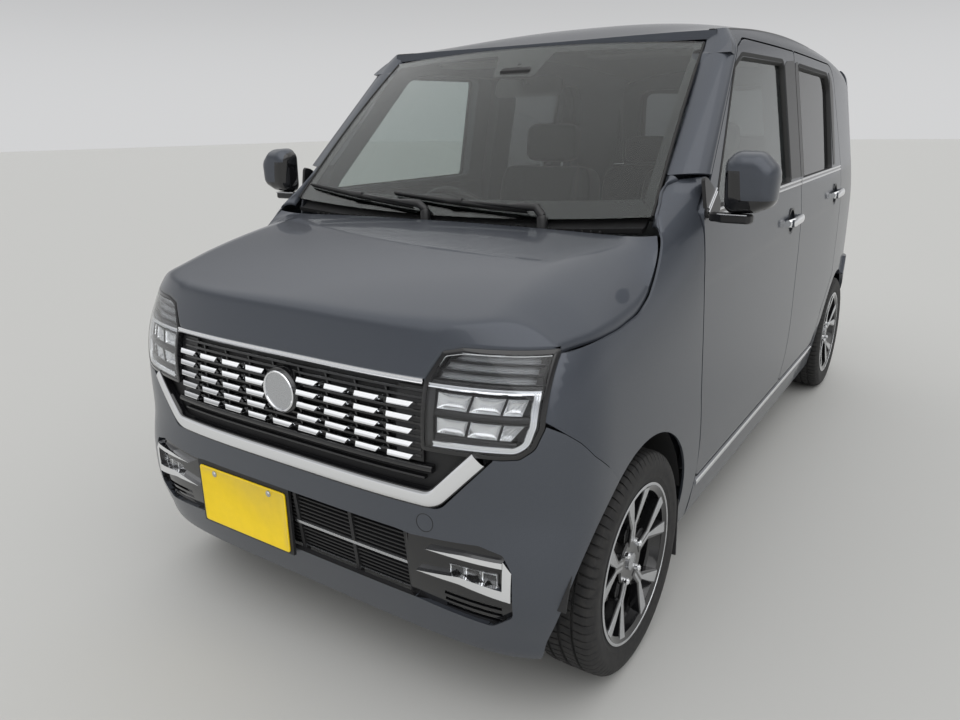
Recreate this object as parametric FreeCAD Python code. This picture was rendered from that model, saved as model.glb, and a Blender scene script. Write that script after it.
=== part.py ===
# Kei car: a tall five-door hatchback, modelled in millimetres as separate panels and running gear.
# The nose points to -Y, the car's left side is +X, the floor is z = 0 and the origin lies
# under the middle of the body. Panels follow a few surface formulas and are cut by outlines
# drawn in side, front and top view. Right-hand pieces are mirror images of the left-hand ones.
import FreeCAD, Part
import math
import os

V = FreeCAD.Vector

# Overall sizes
LENGTH = 3395.0
WIDTH = 1475.0
HEIGHT = 1675.0
WHEELBASE = 2520.0
FRONT_AXLE_Y = -1250.0
REAR_AXLE_Y = FRONT_AXLE_Y + WHEELBASE
NOSE_Y = -LENGTH / 2
TAIL_Y = LENGTH / 2
HALF_W = WIDTH / 2

# Wheels
TYRE_R = 281.0
TYRE_W = 160.0
RIM_R = 190.5
RIM_LIP_R = 203.0
WHEEL_X = 652.5
DISC_R = 118.0
HUB_R = 62.0
SHAFT_R = 24.95
BEARING_GAP = 0.05
ARCH_R = 345.0
ARCH_Z = 266.0
REAR_ARCH_R = 335.0
SPOKES = 5
BEAD_X = 64.0
FACE_X = 62.0

# Wipers, steering and suspension points
WIPER_RIGHT = -60.0
WIPER_LEFT = 330.0
BALL_X = 596.0
BALL_Z = 192.0
KINGPIN_LEAN = 0.1617
TOWER_Z = 672.0

# Panels and clearances
PANEL_T = 6.0
BONNET_T = 16.0
BUMPER_T = 16.0
ROOF_T = 24.0
DOOR_T = 55.0
FRAME_IN = 62.0
FRAME_T = 108.0
GAP = 5.5
GLASS_T = 5.0
WELT = 1.0

# Heights and stations of the side view
SILL_Z = 190.0
DOOR_LOW_Z = 322.0
BELT_Z = 1106.0
DOOR_TOP_Z = 1548.0
DOOR_SPLIT_Y = 228.0
DOOR_FRONT_Y = -905.0
DOOR_REAR_Y = 1085.0
FLOOR_T = 22.0
FLOOR_HUMP = 362.0
LOAD_FLOOR_Z = 440.0
SPRING_TOP_Z = LOAD_FLOOR_Z - FLOOR_T - WELT
NOSE_SIDE_Y = NOSE_Y + 317.5
TAIL_SIDE_Y = TAIL_Y - 257.5
SIDE_ROWS = (300, 420, 540, 660, 780, 900, 1010, 1120, 1230, 1330, 1410, 1470, 1515, 1550, 1575)
WINDSCREEN_LOW = (0.0, -1052.0, 1052.0)
WINDSCREEN_CORNER = (628.0, -1018.0, 1078.0)
WINDSCREEN_TOP = (0.0, -540.0, 1560.0)
WINDSCREEN_TOP_CORNER = (566.0, -508.0, 1541.0)
ROOF_HALF = 588.0
ROOF_FRONT_Y = -537.0
ROOF_REAR_Y = TAIL_Y - 152.5
ROOF_EDGE_Z = HEIGHT - 69

# Front face: depths where cuts from the front start and end
AHEAD_Y = NOSE_Y - 100.0
MOUTH_Y = NOSE_Y + 197.5
LAMP_BACK_Y = NOSE_Y + 214.5
GRILLE_X = 404.0
TAB_COLUMNS = 4
TAB_ROWS = 5
TAB_PITCH_X = 88.0
TAB_PITCH_Z = 29.0
TAB_LOW_Z = 652.0
TAB_W = 66.0
TAB_H = 12.0
GRILLE_TOP_Z = 812.0
CHROME_BAR_Z = 824.0
U_LOW_Z = 544.0
LIP_Z = 196.0
PLATE_X = -191.0
PLATE_Z = 372.0

# Rear face
BEHIND_Y = TAIL_Y + 30.0
TAIL_CUT_Y = TAIL_Y - 297.5
TAIL_LAMP_Y = TAIL_Y - 144.5
REAR_GLASS = [(-492, 1128, 40), (492, 1128, 40), (478, 1500, 60), (-478, 1500, 60)]
PLATE_REAR_Z = 800.0
TAILGATE_LOW_Z = 568.0
TAILGATE_X = 575.0
TAILGATE_T = 48.0
TAIL_LAMP_LOW_Z = 640.0
TAIL_LAMP_TOP_Z = 1085.0
TAIL_LIFT = 14.0


def soft_ramp(d, width):
    return 0.5 * (d + math.hypot(d, width))


def nose_y(z):
    # front surface on the centre line: upright, leaning back above the grille and under the chin
    return NOSE_Y + 3.5 + 0.28 * soft_ramp(z - 755, 30) + 0.0006 * max(0.0, 480 - z) ** 2


def nose_power(z):
    # squareness of the plan view corners, squarer at the chin
    return 3.5 if z > 540 else 3.5 + 1.5 * min(1.0, (540 - z) / 210)


def tail_y(z):
    # rear surface on the centre line: upright below the belt, leaning forward above it
    return TAIL_Y - 14 - 0.115 * soft_ramp(z - 1080, 90) - 0.0005 * max(0.0, 430 - z) ** 2


def roof_edge_z(y):
    return ROOF_EDGE_Z - 5.2e-5 * (y - 380) ** 2


def flank_x(y, z, tapered=True):
    # half width before the corners are rounded: barrel section, tumblehome, tapering shoulder
    low = 48 * (max(0.0, 600 - z) / 420) ** 2
    lean = 0.165 * soft_ramp(z - 1000, 80)
    post = DOOR_FRONT_Y + 5 + 0.55 * max(0.0, z - 1050)
    taper = 43 * math.exp((z - 885) / 97) * (max(0.0, post - y) / 500) ** 1.3 if tapered else 0.0
    taper /= (1 + (taper / 300) ** 4) ** 0.25
    rear = 26 * (max(0.0, y - 900) / 700) ** 2
    rail = 38 * (max(0.0, z - roof_edge_z(y) + 66) / 66) ** 2
    return HALF_W - 2 - low - lean - taper - rear - rail


def side_x(y, z, tapered=True):
    x = flank_x(y, z, tapered)
    ahead = max(0.0, (NOSE_SIDE_Y - y) / (NOSE_SIDE_Y - nose_y(z)))
    behind = max(0.0, (y - TAIL_SIDE_Y) / (tail_y(z) - TAIL_SIDE_Y))
    for share, power in ((ahead, nose_power(z)), (behind, 4.2)):
        x *= max(0.0, 1 - share ** power) ** (1 / power)
    return x


def nose_point(turn, z, lift=0.0):
    # turn 0 is on the flank, 90 on the centre line; lift moves the point outwards
    c, s = math.cos(math.radians(turn)), math.sin(math.radians(turn))
    n = nose_power(z)
    size = (abs(c) ** n + abs(s) ** n) ** (1 / n)
    y = NOSE_SIDE_Y - (NOSE_SIDE_Y - nose_y(z)) * s / size
    return V(flank_x(y, z) * c / size + lift * c, y - lift * s, z)


def tail_point(turn, z, lift=0.0):
    c, s = math.cos(math.radians(turn)), math.sin(math.radians(turn))
    n = 4.2
    size = (abs(c) ** n + abs(s) ** n) ** (1 / n)
    y = TAIL_SIDE_Y + (tail_y(z) - TAIL_SIDE_Y) * s / size
    return V(flank_x(y, z) * c / size + lift * c, y + lift * s, z)


def nose_front_y(x, z):
    low, high = 2.0, 90.0
    for _ in range(40):
        mid = (low + high) / 2
        if nose_point(mid, z).x > abs(x):
            low = mid
        else:
            high = mid
    return nose_point(low, z).y


def tail_rear_y(x, z):
    low, high = 2.0, 90.0
    for _ in range(40):
        mid = (low + high) / 2
        if tail_point(mid, z).x > abs(x):
            low = mid
        else:
            high = mid
    return tail_point(low, z).y


def roof_z(x, y):
    bow = 1.6e-4 if y < 300 else 3.3e-5
    crown = HEIGHT - bow * (y - 300) ** 2
    return crown - (crown - roof_edge_z(y)) * (abs(x) / 600) ** 2.6


def span(low, high, steps):
    return [low + (high - low) * i / steps for i in range(steps + 1)]


def surface(rows):
    grid = Part.BSplineSurface()
    grid.interpolate(rows)
    return grid.toShape()


def side_heights(low, high):
    # rows of the side surface, closer together where it rolls over into the roof
    return [low] + [z for z in SIDE_ROWS if low + 20 < z < high - 8] + [high]


def slab(rows, push):
    # a face through rows of points, given thickness in one direction
    return surface(rows).extrude(V(*push))


def side_slab(ys, zs, depth, start=0.0):
    rows = [[V(side_x(y, z, False) - start, y, z) for z in zs] for y in ys]
    return slab(rows, (-depth, 0, 0))


def outline(points, axis, low, high, radius=0.0):
    # prism from a polygon given in the plane across axis; each corner is an arc of that radius
    # or of the third value of its point
    def place(a, b):
        return {"X": V(low, a, b), "Y": V(a, low, b), "Z": V(a, b, low)}[axis]
    edges = []
    count = len(points)
    ends = []
    for i, point in enumerate(points):
        r = point[2] if len(point) > 2 else radius
        here = V(point[0], point[1], 0)
        back = V(points[i - 1][0], points[i - 1][1], 0) - here
        on = V(points[(i + 1) % count][0], points[(i + 1) % count][1], 0) - here
        half = back.getAngle(on) / 2
        if r <= 0 or half > 1.55:
            ends.append((here, None, here))
            continue
        reach = min(r / math.tan(half), back.Length * 0.48, on.Length * 0.48)
        r = reach * math.tan(half)
        back.normalize()
        on.normalize()
        middle = back + on
        middle.normalize()
        top = here + middle * (r / math.sin(half) - r)
        ends.append((here + back * reach, top, here + on * reach))
    for i, (start, top, end) in enumerate(ends):
        if top is not None:
            bend = [place(p.x, p.y) for p in (start, top, end)]
            edges.append(Part.Arc(*bend).toShape())
        after = ends[(i + 1) % count][0]
        edges.append(Part.makeLine(place(end.x, end.y), place(after.x, after.y)))
    push = {"X": V(high - low, 0, 0), "Y": V(0, high - low, 0), "Z": V(0, 0, high - low)}[axis]
    return Part.Face(Part.Wire(edges)).extrude(push)


def box(x0, x1, y0, y1, z0, z1):
    return Part.makeBox(x1 - x0, y1 - y0, z1 - z0, V(x0, y0, z0))


def rod(a, b, r, r2=None):
    a, b = V(*a), V(*b)
    if r2 is None:
        return Part.makeCylinder(r, (b - a).Length, a, b - a)
    return Part.makeCone(r, r2, (b - a).Length, a, b - a)


def fuse(shapes):
    first = shapes[0]
    return first.multiFuse(shapes[1:])


def mirror(shape):
    return shape.mirror(V(0, 0, 0), V(1, 0, 0))


def both(shape):
    return Part.makeCompound([shape, mirror(shape)])


def turned(profile, centre, axis):
    # a closed profile of (radius, along) points turned about an axis through centre
    axis = V(*axis)
    side = V(0, 0, 1) if abs(axis.z) < 0.9 else V(0, 1, 0)
    at = V(*centre)
    points = [at + side * r + axis * a for r, a in profile]
    return Part.Face(Part.makePolygon(points + points[:1])).revolve(at, axis, 360)


def flank_prism(points, low=-20.0, high=900.0, radius=0.0):
    return outline(points, "X", low, high, radius)


def front_prism(points, low, high, radius=0.0):
    return outline(points, "Y", low, high, radius)


# Body side: sill, pillars, roof rail and rear quarter in one pressing
FRONT_DOOR = [(-790, DOOR_LOW_Z, 30), (-862, 600, 200), (DOOR_FRONT_Y, 930, 200), (DOOR_FRONT_Y, 1098, 20),
              (-486, 1516, 90), (-380, DOOR_TOP_Z, 120), (DOOR_SPLIT_Y - GAP / 2, DOOR_TOP_Z + 2, 12),
              (DOOR_SPLIT_Y - GAP / 2, DOOR_LOW_Z, 20)]
REAR_DOOR = [(DOOR_SPLIT_Y + GAP / 2, DOOR_LOW_Z, 20), (DOOR_SPLIT_Y + GAP / 2, DOOR_TOP_Z + 2, 12),
             (930, DOOR_TOP_Z - 6, 120), (1000, 1480, 90), (DOOR_REAR_Y, 1120, 60), (DOOR_REAR_Y, 620, 20),
             (900, 480, 20), (870, DOOR_LOW_Z, 30)]
FRONT_WINDOW = [(-800, BELT_Z - 6, 20), (-530, 1460, 50), (-450, 1494, 70), (60, 1504, 25), (60, BELT_Z, 25)]
REAR_WINDOW = [(286, BELT_Z, 25), (286, 1504, 25), (850, 1496, 60), (884, 1440, 60), (846, BELT_Z + 8, 25)]
FRONT_APERTURE = [(-760, 350, 60), (-860, 960, 200), (-830, 1120, 60), (-480, 1470, 60), (-400, 1500, 80),
                  (158, 1510, 40), (158, 350, 60)]
REAR_APERTURE = [(300, 350, 60), (300, 1510, 40), (900, 1500, 100), (960, 1440, 80), (1030, 1120, 60),
                 (1030, 700, 60), (880, 560, 80), (820, 350, 60)]


def grown(points, by):
    # the polygon moved outwards by a gap, corner by corner
    count = len(points)
    area = sum(points[i][0] * points[(i + 1) % count][1] - points[(i + 1) % count][0] * points[i][1]
               for i in range(count))
    sign = 1 if area > 0 else -1
    out = []
    for i, p in enumerate(points):
        a, b = points[i - 1], points[(i + 1) % count]
        n1 = V(p[1] - a[1], a[0] - p[0], 0).normalize() * sign
        n2 = V(b[1] - p[1], p[0] - b[0], 0).normalize() * sign
        n = n1 + n2
        step = n * (2 * by / n.Length ** 2)
        out.append((p[0] + step.x, p[1] + step.y) + tuple(r + by for r in p[2:]))
    return out


def arch(axle_y, radius, x0=300.0, x1=900.0):
    return rod((x0, axle_y, ARCH_Z), (x1, axle_y, ARCH_Z), radius)


def rail_top(low, high, drop, steps=10):
    return [(y, roof_edge_z(y) - drop) for y in span(low, high, steps)]


def screen_edge(z):
    (x0, y0, z0), (x1, y1, z1) = WINDSCREEN_CORNER, WINDSCREEN_TOP_CORNER
    t = (z - z0) / (z1 - z0)
    return V(x0 + (x1 - x0) * t, y0 + (y1 - y0) * t, z)


def front_pillar():
    # a strip between the windscreen's edge and the door frame, bulging outwards
    rows = []
    for share in span(0, 1, 6):
        row = []
        for z in span(1190, 1556, 6):
            y = DOOR_FRONT_Y - 8 + (z - 1098) * 1.0024
            rear = V(side_x(y, z, False), y, z)
            front = screen_edge(z)
            bulge = V(0.75, -0.66, 0) * 20 * 4 * share * (1 - share)
            row.append(front + (rear - front) * share + bulge)
        rows.append(row)
    return slab(rows, (-20, 34, 0)).cut(flank_prism(grown(FRONT_DOOR, GAP + 0.3), 300, 800))


def tail_shell(low, high, thick, rows=12, turn=0.0, end=90.0, columns=16, lift=0.0):
    outer = [[tail_point(a, z, lift) for z in span(low, high, rows)] for a in span(turn, end, columns)]
    inner = [[tail_point(a, z, lift - thick) for z in span(low, high, rows)]
             for a in span(turn, end, columns)]
    return closed(surface(outer), surface(inner))


def closed(outer, inner):
    # the solid between two faces with matching edges
    walls = [Part.makeRuledSurface(a, b) for a, b in zip(outer.Edges, inner.Edges)]
    shell = Part.makeShell([outer, inner] + walls)
    shell.sewShape()
    solid = Part.makeSolid(shell)
    if solid.Volume < 0:
        solid.reverse()
    return solid


def roof_panel():
    rows = [[V(x, y, roof_z(x, y)) for y in span(ROOF_FRONT_Y + 34 * (x / 566) ** 2, ROOF_REAR_Y, 14)]
            for x in span(-ROOF_HALF, ROOF_HALF, 12)]
    return slab(rows, (0, 0, -ROOF_T))


def body_side(roof):
    ys, zs = span(-930, TAIL_SIDE_Y, 14), side_heights(180, 1596)
    skin = [(-792, SILL_Z), (870, SILL_Z), (1400, SILL_Z), (1440, 561), (1500, 1580)]
    skin += rail_top(-470, 1500, 2)[::-1] + [(-560, 1500), (-470, 1480), (-400, 1400), (-792, 700)]
    wheel = arch(REAR_AXLE_Y, REAR_ARCH_R).fuse(arch(FRONT_AXLE_Y, ARCH_R + 15))
    region = flank_prism(skin, 300, 800).cut(wheel)
    for door in (FRONT_DOOR, REAR_DOOR):
        region = region.cut(flank_prism(grown(door, GAP), 300, 800))
    region = region.cut(flank_prism([(-900, 340), (-860, 700), (-900, 1100), (-500, 1500), (-380, 1500),
                                     (900, 1500), (1000, 1100), (1000, 700), (860, 340)], 300, 800))
    outer = side_slab(ys, zs, FRAME_IN).common(region)
    inner_edge = [(-900, SILL_Z + 20), (1590, SILL_Z + 20), (1590, roof_edge_z(1590) - 4)]
    inner_edge += rail_top(-440, 1480, 2)[::-1] + [(-560, 1500), (-845, 1198), (-880, 1120), (-880, 1000)]
    region = flank_prism(inner_edge, 300, 800).cut(wheel)
    for hole in (FRONT_APERTURE, REAR_APERTURE):
        region = region.cut(flank_prism(hole, 300, 800))
    inner = side_slab(ys, zs, FRAME_T - FRAME_IN, FRAME_IN).common(region)
    corner = tail_shell(555, 1560, FRAME_IN, 12, 0, 80)
    zone = outline([(1430, 560), (TAIL_SIDE_Y, 561), (TAIL_SIDE_Y + 60, TAIL_LAMP_LOW_Z - WELT),
                    (BEHIND_Y, TAIL_LAMP_LOW_Z - WELT), (BEHIND_Y, TAIL_LAMP_LOW_Z),
                    (TAIL_LAMP_Y - WELT, TAIL_LAMP_LOW_Z), (TAIL_LAMP_Y - WELT, TAIL_LAMP_TOP_Z),
                    (BEHIND_Y, TAIL_LAMP_TOP_Z), (BEHIND_Y, 1530),
                    (TAIL_SIDE_Y, roof_edge_z(TAIL_SIDE_Y) - 2)], "X", TAILGATE_X + GAP, 800)
    corner = corner.common(zone)
    return outer.fuse(inner).fuse(corner).fuse(front_pillar()).cut(roof)


# Doors: skin and frame in one, with the window cut and the glass seated in it
def handle(y, z):
    x = side_x(y, z)
    bowl = Part.makeSphere(58, V(x + 36, y - 6, z))
    grip = outline([(y - 88, z - 14), (y + 88, z - 10), (y + 88, z + 16), (y - 88, z + 12)], "X", x + 12,
                   x + 27, 9)
    posts = [box(x - 12, x + 13, y0, y1, z - 9, z + 9) for y0, y1 in ((y - 84, y - 66), (y + 60, y + 84))]
    return bowl, fuse([grip] + posts)


def door(edge, window, handle_at):
    ys = span(-920 if edge is FRONT_DOOR else 215, 240 if edge is FRONT_DOOR else 1100, 8)
    zs = side_heights(310, 1575)
    region = flank_prism(edge, 300, 800).cut(flank_prism(window, 300, 800))
    if edge is REAR_DOOR:
        region = region.cut(arch(REAR_AXLE_Y, REAR_ARCH_R + 52))
    bowl, grip = handle(*handle_at)
    panel = side_slab(ys, zs, DOOR_T).common(region.cut(bowl)).fuse(grip)
    glass = side_slab(ys, zs, GLASS_T, 14).common(flank_prism(window, 300, 800))
    return panel, glass


def mirror_unit(panel):
    # a boxy housing, the same outline from front, side and above, hollow behind for its glass, on an
    # arm from the black corner of the door
    front = outline([(762, 1097, 22), (838, 1102, 10), (884, 1122, 22), (889, 1206, 34), (850, 1245, 30),
                     (786, 1248, 22), (760, 1224, 22)], "Y", -960, -868)
    plan = outline([(755, -868), (760, -908, 16), (792, -934, 30), (850, -932, 50), (892, -892, 30),
                    (892, -868)], "Z", 1080, 1260)
    side = outline([(-868, 1088), (-924, 1092, 22), (-936, 1130, 30), (-936, 1200, 8), (-908, 1252, 20),
                    (-868, 1252)], "X", 740, 900)
    shell = front.common(plan).common(side)
    hollow = outline([(769, 1106, 18), (834, 1110, 8), (876, 1128, 18), (880, 1204, 30), (846, 1238, 26),
                      (790, 1240, 18), (769, 1220, 18)], "Y", -886, -860)
    glass = outline([(768, 1105, 18), (834, 1109, 8), (877, 1127, 18), (881, 1204, 30), (846, 1239, 26),
                     (790, 1241, 18), (768, 1221, 18)], "Y", -897, -889)
    arm = outline([(712, DOOR_FRONT_Y + 9), (742, DOOR_FRONT_Y + 8), (762, -914, 8), (832, -918, 12),
                   (838, -884, 12), (712, -862)], "Z", 1076, 1099)
    x = side_x(-880, 1110)
    foot = outline([(-894, 1078), (-790, 1088), (-800, 1112), (-835, 1150), (-893, 1094)], "X", x - 30,
                   x + 8, 6)
    return fuse([shell.cut(hollow), glass, arm, foot]).cut(panel)


# Wings beside the bonnet, cut round the lamps
LAMP_FACE = [(GRILLE_X + 1, 674, 10), (GRILLE_X + 1, 818, 6), (438, 882, 10), (480, 892), (650, 892, 6),
             (652, 745, 30), (638, 702, 30), (612, 681, 20), (580, 677)]
GAP_LINE = [(649, -1527, 886), (683, -1424, 892), (693, -1340, 897), (697, -1247, 912), (694, -1184, 939),
            (688, -1135, 976), (681, -1097, 1010), (671, -1064, 1043), (652, -1046, 1072)]
BUMPER_GAP = [(-1600, 752), (-1569, 730), (-1541, 705), (-1508, 668), (-1461, 629), (-1405, 588)]


def wing_slab(thick, lift=0.0):
    rows = []
    for y in span(-1596, -836, 14):
        top = 935 + 262 / (1 + math.exp(-(y + 1105) / 28))
        rows.append([V(side_x(y, z) + lift, y, z) for z in span(186, top, 16)])
    return slab(rows, (-thick, 0, 0))


def wing_edge(lift=0.0):
    edge = [(y, z - WELT + lift) for _, y, z in GAP_LINE[:6]]
    edge += [(y - lift * 0.7, z - WELT + lift * 0.7) for _, y, z in GAP_LINE[6:]]
    edge += [(-1030 - lift * 0.5, 1088 + lift), (-836, 1190), (-836, 600), (-1640, 600), (-1640, 880 + lift)]
    return edge


def wing():
    edge = [(-1640, GAP_LINE[0][2] - WELT)] + [(y, z - WELT) for _, y, z in GAP_LINE]
    edge += [(-1030, 1088), (-1000, 1104), (-925, 1168), (-896, 1176), (-842, 1184), (-836, 1178)]
    edge += [(DOOR_FRONT_Y - GAP, 1106), (DOOR_FRONT_Y - GAP, 930), (-862 - GAP - 1, 600), (-800, 342),
             (-792, SILL_Z + 4), (-950, SILL_Z + 4)]
    edge += [(-1400, 500)] + [(y, z + WELT) for y, z in BUMPER_GAP[::-1]] + [(-1640, 770)]
    region = flank_prism(edge, 300, 800).cut(arch(FRONT_AXLE_Y, ARCH_R))
    lamp = front_prism(grown(LAMP_FACE, 1.5), AHEAD_Y, NOSE_SIDE_Y - 20)
    return wing_slab(PANEL_T).common(region.cut(lamp))


# Bonnet: nearly flat top, rounded shoulders, and a front band bent down to the grille
def gap_at(y):
    for (x0, y0, z0), (x1, y1, z1) in zip(GAP_LINE, GAP_LINE[1:]):
        if y0 <= y <= y1:
            t = (y - y0) / (y1 - y0)
            return x0 + (x1 - x0) * t, z0 + (z1 - z0) * t
    return (GAP_LINE[0][0], GAP_LINE[0][2]) if y < GAP_LINE[0][1] else (GAP_LINE[-1][0], GAP_LINE[-1][2])


def bonnet_z(x, y):
    u = min(1.0, max(0.0, (y + 1652) / 592))
    crown = 930 + 128 * (1.62 * u - 0.62 * u * u)
    edge_x, edge_z = gap_at(y)
    crown -= 12 * (x / 640) ** 2
    start = 500
    if abs(x) < start:
        return crown
    share = (abs(x) - start) / (edge_x - start)
    return crown - (crown - edge_z) * share ** 2.3


def bonnet_path(share):
    # one strip of the bonnet from its rear edge to the grille, at a share of its half width
    points = []
    rear_y = -1064 + 8 * abs(share)
    for y in span(rear_y, NOSE_Y - 2.5, 160):
        x = share * (gap_at(y)[0] - GAP / 2 + 1)
        z = bonnet_z(x, y)
        if y <= nose_front_y(x, z) + 0.5:
            break
        points.append(V(x, y, z))
    corner = points[-1]
    for z in span(corner.z - 2, CHROME_BAR_Z - 4, 40):
        x = share * 655
        points.append(V(x, nose_front_y(x, z), z))
    return points


def resample(points, steps, smooth):
    for _ in range(smooth):
        points = [points[0]] + [(points[i - 1] + points[i] * 2 + points[i + 1]) * 0.25
                                for i in range(1, len(points) - 1)] + [points[-1]]
    lengths = [0.0]
    for a, b in zip(points, points[1:]):
        lengths.append(lengths[-1] + (b - a).Length)
    out = []
    k = 0
    for target in span(0, lengths[-1], steps):
        while k < len(points) - 2 and lengths[k + 1] < target:
            k += 1
        t = (target - lengths[k]) / max(1e-9, lengths[k + 1] - lengths[k])
        out.append(points[k] + (points[k + 1] - points[k]) * min(1.0, t))
    return out


def bonnet():
    shares = span(-1, 1, 20)
    rows = [resample(bonnet_path(s), 34, 14) for s in shares]
    top = surface(rows)
    low = top.copy()
    low.translate(V(0, 3.0, -BONNET_T))
    solid = closed(top, low)
    lamp = grown(LAMP_FACE[:5], 3)[1:4] + [(760, 895.5), (760, 700), (GRILLE_X - 2, 700)]
    cut = front_prism(lamp, AHEAD_Y, LAMP_BACK_Y + 3)
    solid = solid.cut(cut).cut(mirror(cut))
    solid = solid.cut(box(-800, 800, AHEAD_Y, MOUTH_Y, 700, CHROME_BAR_Z + 3))
    room = wing_slab(PANEL_T + 5 * GAP, GAP).common(flank_prism(wing_edge(GAP), 300, 800))
    return solid.cut(room).cut(mirror(room))


# Front face: bumper, grille with its tabs and lamps
def nose_shell(low, high, lift, thick, rows=12, turn=0.0, columns=36):
    outer = [[nose_point(a, z, lift) for z in span(low, high, rows)] for a in span(turn, 180 - turn, columns)]
    inner = [[nose_point(a, z, lift - thick) for z in span(low, high, rows)]
             for a in span(turn, 180 - turn, columns)]
    return closed(surface(outer), surface(inner))


def cross_strip(half, low, high, front, depth, steps=10):
    # a bar across the car that follows the nose in plan, its face that far behind the surface
    z = (low + high) / 2
    ahead = [(x, nose_front_y(x, z) + front) for x in span(-half, half, steps)]
    return outline(ahead + [(x, y + depth) for x, y in ahead[::-1]], "Z", low, high)


# Side part of the lower opening, its fog lamp window, slots and bright blades, as (x, z) of the left side
OPENING_SIDE = [(364, 300, 40), (557, 284, 30), (607, 321, 20), (607, 430, 30), (587, 469, 15),
                (536, 482, 20), (372, 470, 20)]
FOG_WINDOW = [(461, 380, 5), (461, 421, 5), (576, 422, 5), (576, 373, 5)]
FOG_SLOTS = [[(442, z + 6), (578, z), (578, z + 9), (444, z + 15)] for z in (292, 309, 326)]
BLADE_LOW = [(379, 381), (489, 379), (604, 359), (606, 431), (588, 455), (587, 385), (490, 397)]
BLADE_TOP = [(409, 444), (587, 438), (587, 451), (500, 452)]


def front_bumper():
    shell = nose_shell(LIP_Z, 770, 0, BUMPER_T, 14, 0, 28)
    mouth = [(-445, U_LOW_Z - WELT, 40), (445, U_LOW_Z - WELT, 40), (562, 673), (562, 900), (-562, 900),
             (-562, 673)]
    lamp = front_prism(grown(LAMP_FACE, 1.5), AHEAD_Y, NOSE_SIDE_Y - 20)
    shell = shell.cut(front_prism(mouth, AHEAD_Y, MOUTH_Y)).cut(lamp).cut(mirror(lamp))
    opening = OPENING_SIDE + [(330, 474, 20), (-330, 474, 20)]
    opening += [(-p[0],) + p[1:] for p in OPENING_SIDE[::-1]]
    shell = shell.cut(front_prism(opening, AHEAD_Y, MOUTH_Y))
    gap = [(y, z - WELT) for y, z in BUMPER_GAP] + [(-1300, 560), (-1300, 900), (-1600, 900)]
    cutter = outline(gap, "X", -900, 900)
    wheel = rod((-900, FRONT_AXLE_Y, ARCH_Z), (900, FRONT_AXLE_Y, ARCH_Z), ARCH_R)
    shell = shell.cut(cutter).cut(wheel).cut(box(-900, 900, -1408, -1300, 0, 900))
    bezel = grown([(352, 290), (557, 284, 30), (607, 321, 20), (607, 430, 30), (587, 469, 15), (536, 482, 20),
                   (372, 470, 20), (352, 472)], 3)
    holes = [front_prism(hole, AHEAD_Y, MOUTH_Y) for hole in [FOG_WINDOW] + FOG_SLOTS]
    bezel = front_prism(bezel, AHEAD_Y, MOUTH_Y).cut(fuse(holes))
    bezel = nose_shell(270, 500, -13, 9, 6, 20).common(bezel)
    lens = nose_shell(360, 440, -17, 6, 3, 20).common(front_prism(grown(FOG_WINDOW, 1), AHEAD_Y, MOUTH_Y))
    blades = [nose_shell(350, 460, 1, 16, 4, 20).common(front_prism(blade, AHEAD_Y, MOUTH_Y))
              for blade in (BLADE_LOW, BLADE_TOP)]
    pieces = [shell]
    for piece in [bezel, lens] + blades:
        pieces += [piece, mirror(piece)]
    plate_y = nose_front_y(PLATE_X, PLATE_Z)
    pad = box(PLATE_X - 175, PLATE_X + 175, plate_y + 2, plate_y + 10, 284, 476)
    for x in (PLATE_X - 105, PLATE_X + 105):
        pad = pad.cut(rod((x, plate_y - 20, PLATE_Z + 68), (x, plate_y + 40, PLATE_Z + 68), 3.5))
    pieces.append(pad)
    for z in span(306, 460, 14):
        pieces.append(cross_strip(352, z, z + 3.5, 20, 8))
    pieces.append(cross_strip(352, 377, 384, 16, 12))
    for x in (-350, -183, 0, 183, 350):
        pieces.append(outline([(-1660, 284), (-1682, 480), (-1660, 480), (-1646, 284)], "X", x - 5, x + 5))
    return fuse(pieces)


def grille():
    plate = nose_shell(U_LOW_Z, CHROME_BAR_Z, -22, 12, 10, 20)
    face = [(-445, U_LOW_Z, 40), (445, U_LOW_Z, 40), (560, 671), (GRILLE_X - 1, 671),
            (GRILLE_X - 1, CHROME_BAR_Z), (-GRILLE_X + 1, CHROME_BAR_Z), (-GRILLE_X + 1, 671), (-560, 671)]
    plate = plate.common(front_prism(face, AHEAD_Y, MOUTH_Y))
    u_ring = [(-445, U_LOW_Z, 40), (445, U_LOW_Z, 40), (560, 671), (503, 671), (411, 579, 30),
              (-411, 579, 30), (-503, 671), (-560, 671)]
    chrome = nose_shell(U_LOW_Z - 4, 690, 3, 28, 8, 20).common(front_prism(u_ring, AHEAD_Y, MOUTH_Y))
    bar = nose_shell(GRILLE_TOP_Z, CHROME_BAR_Z, 3, 28, 2, 20).common(
        box(-GRILLE_X + 1, GRILLE_X - 1, AHEAD_Y, MOUTH_Y, GRILLE_TOP_Z, CHROME_BAR_Z))
    pieces = [plate, chrome, bar, cross_strip(440, 620, 637, 10, 16), cross_strip(420, 603, 609, 10, 16)]
    for row in range(TAB_ROWS):
        z = TAB_LOW_Z + row * TAB_PITCH_Z
        pieces.append(cross_strip(GRILLE_X - 6, z - 3, z + 3, 12, 12))
        for column in range(-TAB_COLUMNS, TAB_COLUMNS + 1):
            if column == 0 and row > 0:
                continue
            x = column * TAB_PITCH_X
            left, right = (9 if column <= 0 else 3), (9 if column >= 0 else 3)
            y = nose_front_y(x, z)
            low, high = z - TAB_H / 2, z + TAB_H / 2
            pieces.append(outline([(x - TAB_W / 2 + left, low), (x + TAB_W / 2 - right, low),
                                   (x + TAB_W / 2, high), (x - TAB_W / 2, high)], "Y", y + 1, y + 16))
    emblem = rod((0, nose_front_y(0, 732) - 3, 732), (0, nose_front_y(0, 732) + 24, 732), 50)
    return fuse(pieces + [emblem])


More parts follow.
